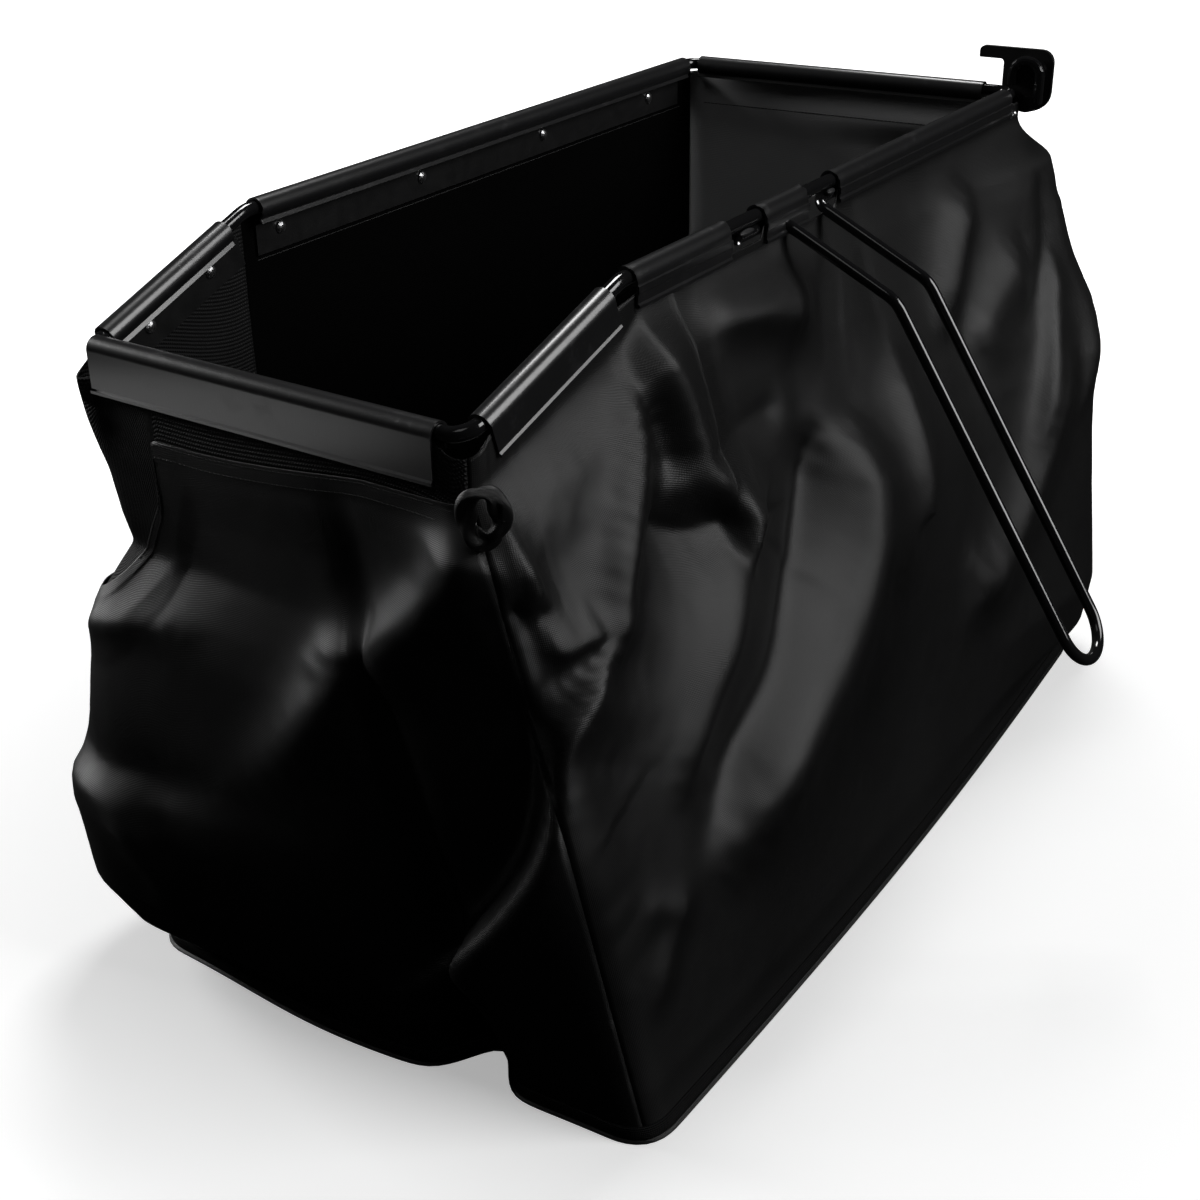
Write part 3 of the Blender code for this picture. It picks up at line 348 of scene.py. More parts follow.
def grid_object(name, grid, finish, closed_rows=False, closed_columns=False, caps=False):
    """A smooth mesh through a grid of points, with its own distances as UV map, in metres."""
    rows, columns = grid.shape[:2]
    faces = grid_faces(rows, columns, closed_rows, closed_columns)
    points = grid.reshape(-1, 3)
    listed = faces.tolist()
    if caps:
        listed.append(list(range(columns))[::-1])
        listed.append(list(range((rows - 1) * columns, rows * columns)))
    mesh = bpy.data.meshes.new(name)
    mesh.from_pydata(points.tolist(), [], listed)
    mesh.update()
    mesh.shade_smooth()
    across = travelled(grid, 1)
    down = travelled(grid)
    down = down - down[-1]
    flat = np.stack([across, down], axis=-1).reshape(-1, 2)
    corner_points = np.zeros(len(mesh.loops), np.int32)
    mesh.loops.foreach_get("vertex_index", corner_points)
    layer = mesh.uv_layers.new(name="Lengths")
    layer.data.foreach_set("uv", flat[corner_points].astype(np.float32).ravel())
    made = bpy.data.objects.new(name, mesh)
    mesh.materials.append(finish)
    bpy.context.scene.collection.objects.link(made)
    return made


def thickened(made, wall, outward=True, inside=None):
    """The sheet given its thickness to the outside or the inside, and a finish for its inside."""
    solidify = made.modifiers.new("Thickness", "SOLIDIFY")
    solidify.thickness = wall
    solidify.offset = 1.0 if outward else -1.0
    if inside:
        made.data.materials.append(inside)
        solidify.material_offset = 1
    return made


def swept(name, path, diameter, sides, finish, closed=False):
    """A round rod or thread: a circle carried along the path, turned as little as it can be."""
    path = np.asarray(path)
    ahead = np.roll(path, -1, axis=0) - np.roll(path, 1, axis=0)
    if not closed:
        ahead[0] = path[1] - path[0]
        ahead[-1] = path[-1] - path[-2]
    ahead /= np.linalg.norm(ahead, axis=1, keepdims=True)
    side = np.cross(ahead, UP)
    weak = np.linalg.norm(side, axis=1) < 0.35
    if weak.any():
        side = np.cross(ahead, np.array((0.0, 1.0, 0.0)))
    side /= np.linalg.norm(side, axis=1, keepdims=True)
    over = np.cross(side, ahead)
    angles = np.linspace(0.0, 2.0 * math.pi, sides, endpoint=False)
    ring = (np.cos(angles)[None, :, None] * side[:, None]
            + np.sin(angles)[None, :, None] * over[:, None]) * diameter / 2
    grid = path[:, None] + ring
    return grid_object(name, grid, finish, closed_rows=closed, closed_columns=True,
                       caps=not closed)


# Finishes


class Signal:
    """A number in a material, which takes part in sums and products."""

    def __init__(self, finish, socket):
        self.finish = finish
        self.socket = socket

    def maths(self, operation, *others):
        values = dict(enumerate((self, *others)))
        return self.finish.node("ShaderNodeMath", {"operation": operation}, values)

    def __add__(self, other):
        return self.maths("ADD", other)

    def __radd__(self, other):
        return self.maths("ADD", other)

    def __sub__(self, other):
        return self.maths("SUBTRACT", other)

    def __rsub__(self, other):
        return (self * -1.0) + other

    def __mul__(self, other):
        return self.maths("MULTIPLY", other)

    def __rmul__(self, other):
        return self.maths("MULTIPLY", other)

    def sine(self):
        return self.maths("SINE")

    def between(self, low, high):
        """0 below low, 1 above high and smooth between them."""
        sockets = {"Value": self, "From Min": low, "From Max": high}
        return self.finish.node("ShaderNodeMapRange", {"interpolation_type": "SMOOTHSTEP"},
                                sockets, "Result")


class Finish:
    """A procedural material and its node tree."""

    def __init__(self, name):
        self.material = bpy.data.materials.new(name)
        self.material.use_nodes = True
        self.tree = self.material.node_tree
        self.shader = self.tree.nodes["Principled BSDF"]

    def node(self, kind, settings=None, sockets=None, out=0):
        """A node with its settings, then its sockets' values and links, and one output."""
        made = self.tree.nodes.new(kind)
        for key, value in (settings or {}).items():
            setattr(made, key, value)
        for key, value in (sockets or {}).items():
            self.feed(made.inputs[key], value)
        return Signal(self, made.outputs[out])

    def feed(self, socket, value):
        """Links a signal to a socket, or sets the socket's own value."""
        if isinstance(value, Signal):
            self.tree.links.new(value.socket, socket)
        else:
            socket.default_value = value

    def principled(self, **sockets):
        """Sets the shader's sockets, named with underscores."""
        for key, value in sockets.items():
            self.feed(self.shader.inputs[key.replace("_", " ")], value)

    def lengths(self):
        """Distances along and down the piece, from its UV map, in metres."""
        place = self.node("ShaderNodeTexCoord", out="UV")
        across = self.node("ShaderNodeSeparateXYZ", sockets={0: place}, out="X")
        down = self.node("ShaderNodeSeparateXYZ", sockets={0: place}, out="Y")
        return place, across, down

    def place(self, scale=(1.0, 1.0, 1.0)):
        """Object coordinates, scaled about the middle of the catcher."""
        spot = self.node("ShaderNodeTexCoord", out="Object")
        return self.node("ShaderNodeMapping", sockets={"Vector": spot, "Scale": scale})

    def noise(self, vector, scale, detail=3.0, roughness=0.5):
        sockets = {"Vector": vector, "Scale": scale, "Detail": detail, "Roughness": roughness}
        return self.node("ShaderNodeTexNoise", sockets=sockets, out="Fac")

    def bump(self, height, distance, strength=1.0):
        """A normal for the shader, from a height between 0 and 1."""
        sockets = {"Height": height, "Distance": distance, "Strength": strength}
        self.feed(self.shader.inputs["Normal"], self.node("ShaderNodeBump", sockets=sockets))

    def between_colours(self, share, first, second):
        """A colour between two others."""
        sockets = {0: share, 6: (*first, 1.0), 7: (*second, 1.0)}
        return self.node("ShaderNodeMix", {"data_type": "RGBA"}, sockets, 2)


def woven_finish(name, colour, roughness, specular, pitch, relief):
    """Tight woven cloth: crossing threads, thin slubs and soft changes of gloss."""
    finish = Finish(name)
    _, across, down = finish.lengths()
    spot = finish.place()
    wave = finish.noise(spot, 14.0, 2.0)
    weft = (down * (2.0 * math.pi / pitch) + wave * 5.0).sine()
    warp = (across * (2.0 * math.pi / pitch) + wave * 3.0).sine()
    slub = finish.noise(spot, 900.0, 2.0, 0.6)
    finish.bump(weft * 0.5 + warp * 0.22 + slub * 0.7, relief)
    patch = finish.noise(spot, 9.0, 3.0)
    finish.principled(
        Base_Color=finish.between_colours(patch, colour, [c * 1.35 for c in colour]),
        Roughness=patch * 0.10 + (roughness - 0.05), Specular_IOR_Level=specular)
    return finish.material


def ribbed_finish(name, colour):
    """Stiff mesh: bold ribs across and finer cords down."""
    finish = Finish(name)
    _, across, down = finish.lengths()
    rib = (down * (2.0 * math.pi / 0.0026)).sine()
    cord = (across * (2.0 * math.pi / 0.0021)).sine()
    cell = (rib * 0.5 + 0.5) * (cord * 0.35 + 0.65)
    finish.bump(cell, 0.0006)
    finish.principled(
        Base_Color=finish.between_colours(cell, [c * 0.45 for c in colour], colour),
        Roughness=0.62, Specular_IOR_Level=0.22)
    return finish.material


def enamel_finish(name, colour, roughness):
    """Gloss enamel with a soft orange peel and a few dull rubs."""
    finish = Finish(name)
    spot = finish.place()
    peel = finish.noise(spot, 420.0, 2.0)
    rub = finish.noise(spot, 60.0, 4.0, 0.7).between(0.58, 0.75)
    finish.bump(peel, 0.00012, 0.5)
    finish.principled(
        Base_Color=(*colour, 1.0), Roughness=rub * 0.16 + roughness, Specular_IOR_Level=0.55,
        Coat_Weight=0.6, Coat_Roughness=0.08)
    return finish.material


def extruded_finish(name, colour):
    """Extruded plastic: fine draw lines along its length, scuffs and scratches."""
    finish = Finish(name)
    place, _, _ = finish.lengths()
    spot = finish.place()
    drawn = finish.node("ShaderNodeMapping", sockets={"Vector": place, "Scale": (6.0, 900.0, 1.0)})
    lines = finish.noise(drawn, 1.0, 3.0, 0.6)
    scuff = finish.noise(spot, 55.0, 5.0, 0.7).between(0.54, 0.78)
    scratch = finish.noise(spot, 260.0, 3.0, 0.7).between(0.62, 0.72)
    finish.bump(lines * 0.6 + scratch * 0.4, 0.00008)
    finish.principled(
        Base_Color=finish.between_colours(scuff * 0.5 + scratch * 0.5, colour,
                                          [c * 3.0 for c in colour]),
        Roughness=scuff * 0.12 + 0.32, Specular_IOR_Level=0.8, Coat_Weight=0.5,
        Coat_Roughness=0.12)
    return finish.material


def painted_finish(name, colour, roughness):
    """Painted steel with a fine grain."""
    finish = Finish(name)
    spot = finish.place()
    grain = finish.noise(spot, 700.0, 3.0, 0.6)
    worn = finish.noise(spot, 80.0, 4.0)
    finish.bump(grain, 0.0002, 0.6)
    finish.principled(
        Base_Color=(*colour, 1.0), Roughness=worn * 0.2 + roughness, Specular_IOR_Level=0.5)
    return finish.material


def steel_finish(name):
    """Bright set rivet, a little brushed."""
    finish = Finish(name)
    spot = finish.place()
    grain = finish.noise(spot, 1500.0, 2.0)
    finish.bump(grain, 0.0001, 0.4)
    finish.principled(Base_Color=(0.72, 0.72, 0.73, 1.0), Metallic=1.0,
                      Roughness=grain * 0.16 + 0.18)
    return finish.material


def thread_finish(name):
    """Twisted sewing thread."""
    finish = Finish(name)
    _, along, over = finish.lengths()
    twist = (along * 9000.0 + over * 9000.0).sine()
    finish.bump(twist * 0.5 + 0.5, 0.0001)
    finish.principled(Base_Color=finish.between_colours(twist, (0.02,) * 3, (0.05,) * 3),
                      Roughness=0.6, Specular_IOR_Level=0.4)
    return finish.material


class Finishes:
    """Every material of the catcher, made once."""

    made = {}

    @classmethod
    def get(cls, name):
        return cls.made[name]


def make_finishes():
    cloth = bpy.context.scene.catcher_cloth
    hardware = bpy.context.scene.catcher_hardware
    Finishes.made = {
        "cloth": woven_finish("black woven cloth", tuple(cloth.colour), 0.45, 0.50, 0.0011,
                              0.00009),
        # Painted light: the rear wall's inside is pale grey for the light that falls into the bag,
        # while the other insides stay black
        "inner": woven_finish("coated inside of the cloth", (0.50, 0.50, 0.505), 0.60, 0.35,
                              0.0016, 0.00010),
        "lining": woven_finish("dull lining cloth", tuple(cloth.lining_colour), 0.90, 0.03,
                               0.0018, 0.00015),
        "mesh": ribbed_finish("stiff ribbed mesh", (0.009, 0.009, 0.0093)),
        "tape": woven_finish("binding tape", (0.003, 0.003, 0.0032), 0.60, 0.12, 0.0013,
                             0.00030),
        "thread": thread_finish("black sewing thread"),
        "rod": enamel_finish("gloss black enamel", tuple(hardware.rod_colour), 0.10),
        "clip": extruded_finish("extruded black plastic", tuple(hardware.clip_colour)),
        "plate": painted_finish("satin black steel", (0.004, 0.004, 0.0042), 0.34),
        "weld": painted_finish("painted weld bead", (0.016, 0.016, 0.017), 0.36),
        "steel": steel_finish("bright rivet steel"),
    }


# Frame


def frame_corners():
    """Centre-line corners of the frame rod, round the mouth from the front left."""
    half = {"front": FRONT_WIDTH / 2, "bend": BEND_WIDTH / 2, "rear": REAR_WIDTH / 2}
    dip = FRONT_REACH * math.sin(FRONT_DROP)
    front_y = BEND_Y - FRONT_REACH * math.cos(FRONT_DROP)
    return np.array([
        (FRAME_CENTRE_X - half["front"], front_y + BEND_SKEW, FRAME_HEIGHT - dip),
        (FRAME_CENTRE_X + half["front"], front_y - BEND_SKEW, FRAME_HEIGHT - dip),
        (FRAME_CENTRE_X + half["bend"], BEND_Y - BEND_SKEW, FRAME_HEIGHT),
        (FRAME_CENTRE_X + half["rear"] + BEND_SKEW / 2, REAR_Y + REAR_SKEW, FRAME_HEIGHT),
        (FRAME_CENTRE_X - half["rear"] + BEND_SKEW / 2, REAR_Y - REAR_SKEW, FRAME_HEIGHT),
        (FRAME_CENTRE_X - half["bend"], BEND_Y + BEND_SKEW, FRAME_HEIGHT),
    ])


def side_of(start):
    """Start, unit direction, outward, up and length of the frame side that begins at a corner."""
    corners = frame_corners()
    begin = corners[start]
    end = corners[(start + 1) % 6]
    along = unit(end - begin)
    outward = unit(np.cross(along, UP))
    up = np.cross(outward, along)
    return begin, along, outward, up, float(np.linalg.norm(end - begin))


def frame_route():
    """Centre line of the frame rod."""
    radii = [CORNER_RADIUS, CORNER_RADIUS, BEND_RADIUS, CORNER_RADIUS, CORNER_RADIUS, BEND_RADIUS]
    return rounded_route(frame_corners(), radii, closed=True)


def right_rod_at(y):
    """Point of the straight right-hand rod at this y."""
    begin, along, _, _, _ = side_of(RIGHT_BEND)
    return begin + along * (y - begin[1]) / along[1]


def handle_feet():
    """Where the two legs leave their feet, right under the frame rod."""
    drop = UP * (ROD_RADIUS + HANDLE_RADIUS + FIT)
    front = right_rod_at(HANDLE_Y - HANDLE_SPACING / 2) - drop
    rear = right_rod_at(HANDLE_Y + HANDLE_SPACING / 2) - drop
    return front, rear


def handle_route():
    """Centre line of the handle rod, from one foot round the loop to the other."""
    front, rear = handle_feet()
    along = side_of(RIGHT_BEND)[1]
    kink = np.array((HANDLE_KINK_REACH, 0.0, -HANDLE_KINK_DROP))
    reach = np.array((math.cos(HANDLE_SLOPE), 0.0, -math.sin(HANDLE_SLOPE))) * HANDLE_LENGTH
    return rounded_route(
        [front - along * HANDLE_FOOT, front, front + kink, front + kink + reach,
         rear + kink + reach, rear + kink, rear, rear + along * HANDLE_FOOT],
        [0.0, HANDLE_FOOT_RADIUS, HANDLE_KINK_RADIUS, HANDLE_SPACING / 2 - FIT,
         HANDLE_SPACING / 2 - FIT, HANDLE_KINK_RADIUS, HANDLE_FOOT_RADIUS, 0.0],
        closed=False)


# Clips


def clip_outline(depth, ridged):
    """Closed outline of a clip, outward and up: its outer line there and its inner line back."""
    angles = np.linspace(CLIP_WRAP, 0.0, 40)
    outer = [(CLIP_RADIUS * math.cos(a), CLIP_RADIUS * math.sin(a) - CLIP_CENTRE_DROP)
             for a in angles]
    outer.insert(0, (outer[0][0] - CLIP_LIP * 0.45, outer[0][1] - CLIP_LIP))
    if ridged:
        outer += [(CLIP_RADIUS, -RIDGE_TOP + RIDGE), (CLIP_RADIUS + RIDGE, -RIDGE_TOP),
                  (CLIP_RADIUS + RIDGE, -GROOVE_DROP), (CLIP_RADIUS, -GROOVE_DROP - RIDGE)]
    bead = depth - SKIRT_BEAD_HEIGHT
    outer += [(CLIP_RADIUS, -bead), (CLIP_RADIUS + SKIRT_BEAD, -bead - SKIRT_BEAD),
              (CLIP_RADIUS + SKIRT_BEAD, -depth)]
    outer = np.array(outer)
    ahead = np.gradient(outer, axis=0)
    ahead /= np.linalg.norm(ahead, axis=1, keepdims=True)
    inner = outer + np.stack([ahead[:, 1], -ahead[:, 0]], axis=1) * CLIP_WALL
    return np.concatenate([outer, inner[::-1]])


def clip_strip(name, start, begin, end, depth, ridged, torn, finish):
    """An extruded clip along one side of the frame, its torn ends ragged and a little curled."""
    corner, along, outward, up, _ = side_of(start)
    outline = clip_outline(depth, ridged)
    places = np.linspace(begin, end, max(2, round((end - begin) / 0.002)) + 1)
    tear = bpy.context.scene.catcher_hardware.tear
    spots = np.stack([outline[:, 0], outline[:, 1], np.zeros(len(outline))], axis=1)
    pull = np.zeros((len(places), len(outline)))
    curl = np.zeros((len(places), len(outline)))
    for edge, sign, seed in ((begin, 1.0, 3), (end, -1.0, 4)):
        if edge in torn:
            ragged = np.abs(ripple(spots, 0.011, seed + round(edge * 1000.0)))
            fade = np.exp(-((places - edge) / 0.005) ** 2)[:, None]
            pull = pull + sign * tear * ragged * fade
            curl = curl + 0.25 * tear * ripple(spots, 0.02, seed) * fade
    far = np.linalg.norm(outline, axis=1)[None, :]
    grid = (corner + along * (places[:, None] + pull)[..., None]
            + outward * (outline[:, 0] * (1.0 + curl / far))[..., None]
            + up * (outline[:, 1] * (1.0 + curl / far))[..., None])
    made = grid_object(name, grid, finish, closed_columns=True, caps=True)
    made.data.set_sharp_from_angle(angle=math.radians(32))
    return made


def clip_runs():
    """Piece, node, first corner, begin, end, skirt depth, ridge and torn ends of every clip."""
    length = [side_of(start)[4] for start in range(6)]
    bend_y = frame_corners()[RIGHT_BEND][1]
    first = (0.006, NOTCHES[0][0] - bend_y)
    second = (NOTCHES[0][1] - bend_y, NOTCHES[1][0] - bend_y)
    third = (NOTCHES[1][1] - bend_y, length[2] - 0.0255)
    return (
        ("front", FRONT_LEFT, 0.0015, length[0] - 0.0175, SKIRT_DEPTH, False, ()),
        ("right_front", FRONT_RIGHT, 0.0135, length[1] - 0.0175, SKIRT_DEPTH * 0.72, False, ()),
        ("right_1", RIGHT_BEND, *first, SIDE_SKIRT_DEPTH, True, first),
        ("right_2", RIGHT_BEND, *second, SIDE_SKIRT_DEPTH, True, second),
        ("right_3", RIGHT_BEND, *third, SIDE_SKIRT_DEPTH * 0.8, True, third[:1]),
        ("rear", REAR_RIGHT, 0.0265, length[3] - 0.011, SKIRT_DEPTH, False, ()),
        ("left", REAR_LEFT, 0.014, length[4] - 0.009, SKIRT_DEPTH, False, ()),
        ("left_front", LEFT_BEND, 0.024, length[5] - 0.0095, SKIRT_DEPTH, False, ()),
    )


# Bag


class Bag:
    """Rings of points round the hem and round the base, in matching columns."""

    def __init__(self, pitch):
        self.pitch = pitch
        corners = frame_corners()
        out = CLOTH_OUT
        shift = np.array([(-out, -out, 0), (out, -out, 0), (out, 0, 0),
                          (out, out, 0), (-out, out, 0), (-out, 0, 0)])
        top = corners + shift
        side_y = BEND_Y + (BASE_FRONT - top[FRONT_RIGHT][1]) * 0.5
        base = np.array([
            (BASE_LEFT, BASE_FRONT, 0), (BASE_RIGHT, BASE_FRONT, 0), (BASE_RIGHT, side_y, 0),
            (BASE_RIGHT, BASE_REAR, 0), (BASE_LEFT, BASE_REAR, 0), (BASE_LEFT, side_y, 0)])
        lengths = [side_of(start)[4] for start in range(6)]
        upper, lower, dips, holds = [], [], [], []
        self.middle = []
        turn = np.linspace(0.0, 1.0, 13)[1:-1]
        for i in range(6):
            before = (i - 1) % 6
            after = (i + 1) % 6
            for ring, points, cut in (
                    (upper, top, HEM_CORNERS[i]),
                    (lower, base, BASE_CORNER)):
                start = points[i] - unit(points[i] - points[before]) * cut
                end = points[i] + unit(points[after] - points[i]) * cut
                t = turn[:, None]
                ring.append((1 - t) ** 2 * start + 2 * t * (1 - t) * points[i] + t * t * end)
            dips.append(HEM_DIPS[i] * np.sin(math.pi * turn) ** 0.6)
            step = np.clip(turn * 2.0 - 0.5, 0.0, 1.0)
            holds.append(HOLDS[before] + (HOLDS[i] - HOLDS[before]) * step)
            self.middle.append(sum(len(part) for part in upper) - 6)
            count = round(lengths[i] / pitch)
            share = np.linspace(0.0, 1.0, count + 1)
            for ring, points, cut_a, cut_b in (
                    (upper, top, HEM_CORNERS[i], HEM_CORNERS[after]),
                    (lower, base, BASE_CORNER, BASE_CORNER)):
                way = unit(points[after] - points[i])
                start = points[i] + way * cut_a
                end = points[after] - way * cut_b
                ring.append(start + (end - start) * share[:, None])
            dips.append(share * 0.0)
            holds.append(share * 0.0 + HOLDS[i])
        self.upper = np.concatenate(upper)
        self.lower = self.shaped_base(np.concatenate(lower))
        self.dips = np.concatenate(dips)
        self.holds = np.concatenate(holds)
        # the rear hem is held less deep beside the hanger
        corner = self.upper[self.middle[REAR_RIGHT]]
        from_corner = np.linalg.norm(self.upper - corner, axis=1)
        beside = np.arange(len(self.holds)) > self.middle[REAR_RIGHT]
        near = SIDE_HEM_BOTTOM + (self.holds - SIDE_HEM_BOTTOM) * smooth(from_corner, 0.012, 0.03)
        self.holds = np.where(beside, near, self.holds)
        total = np.zeros_like(self.upper)
        for ring in (self.upper, self.lower):
            along = np.roll(ring, -1, axis=0) - np.roll(ring, 1, axis=0)
            total += np.stack([along[:, 1], -along[:, 0], 0 * along[:, 0]], axis=1)
        for _ in range(36):
            total = (np.roll(total, 1, axis=0) + 2 * total + np.roll(total, -1, axis=0)) / 4
        self.normals = total / np.linalg.norm(total, axis=1, keepdims=True)

    @staticmethod
    def shaped_base(ring):
        """The base ring with its sides swelled out and the slack dent in its front edge."""
        ring = ring.copy()
        x, y = ring[:, 0].copy(), ring[:, 1].copy()
        along = (y - BASE_FRONT) / (BASE_REAR - BASE_FRONT)
        across = (x - BASE_LEFT) / (BASE_RIGHT - BASE_LEFT)
        on_right = smooth(x, BASE_RIGHT - BASE_CORNER, BASE_RIGHT)
        on_front = 1.0 - smooth(y, BASE_FRONT, BASE_FRONT + BASE_CORNER)
        ring[:, 0] += on_right * BASE_SIDE_SWELL * np.sin(math.pi * along)
        swell = BASE_FRONT_SWELL * np.exp(-((across - 0.42) / 0.28) ** 2)
        dent = BASE_FRONT_DENT * np.exp(-((across - 0.685) / 0.052) ** 2)
        ring[:, 1] += on_front * (dent - swell)
        return ring

    def between(self, first, last):
        """Column numbers from one corner to the next named one, round the ring."""
        total = len(self.upper)
        start, end = self.middle[first], self.middle[last]
        return (start + np.arange((end - start) % total + 1)) % total

    def taut(self, columns, heights):
        """Points of a taut wall: straight down behind the clip, then straight to the base."""
        top, foot = self.upper[columns], self.lower[columns]
        z_top = top[..., 2] - self.holds[columns]
        share = np.clip((z_top - heights) / (z_top - WALL_BOTTOM), 0.0, 1.0)
        flat = top + (foot - top) * share[..., None]
        flat[..., 2] = heights
        return flat


# Where the cloth stands out at two corners, measured along the photo's outline through the
# fitted camera: height above the floor, distance out
FRONT_LEFT_SLACK = (
    (0.000, 0.000), (0.031, 0.021), (0.072, 0.043), (0.129, 0.049), (0.148, 0.046),
    (0.166, 0.038), (0.203, 0.030), (0.253, 0.020), (0.275, 0.010), (0.306, -0.011),
    (0.328, -0.006), (0.369, 0.000), (0.410, 0.002))
REAR_RIGHT_SLACK = (
    (0.000, 0.000), (0.030, 0.020), (0.074, 0.034), (0.148, 0.038), (0.220, 0.042),
    (0.282, 0.043), (0.316, 0.040), (0.351, 0.033), (0.389, 0.029), (0.418, 0.028),
    (0.439, 0.024), (0.467, 0.008))
SLACK_CORNERS = ((FRONT_LEFT, FRONT_LEFT_SLACK, 0.125), (REAR_RIGHT, REAR_RIGHT_SLACK, 0.140))

# Bulges of the slack cloth: centre, reach along x, y and z, height
BULGES = (
    ((-0.202, 0.020, 0.150), (0.10, 0.26, 0.120), 0.020),
    ((0.020, -0.378, 0.170), (0.12, 0.10, 0.110), 0.010),
    ((-0.080, 0.380, 0.200), (0.12, 0.10, 0.140), 0.012),
    ((0.160, 0.060, 0.250), (0.10, 0.20, 0.130), 0.014),
    ((0.165, -0.200, 0.180), (0.10, 0.14, 0.110), 0.012),
    ((0.130, -0.310, 0.385), (0.06, 0.060, 0.070), 0.010),
    ((0.150, -0.200, 0.270), (0.06, 0.060, 0.060), 0.010),
)
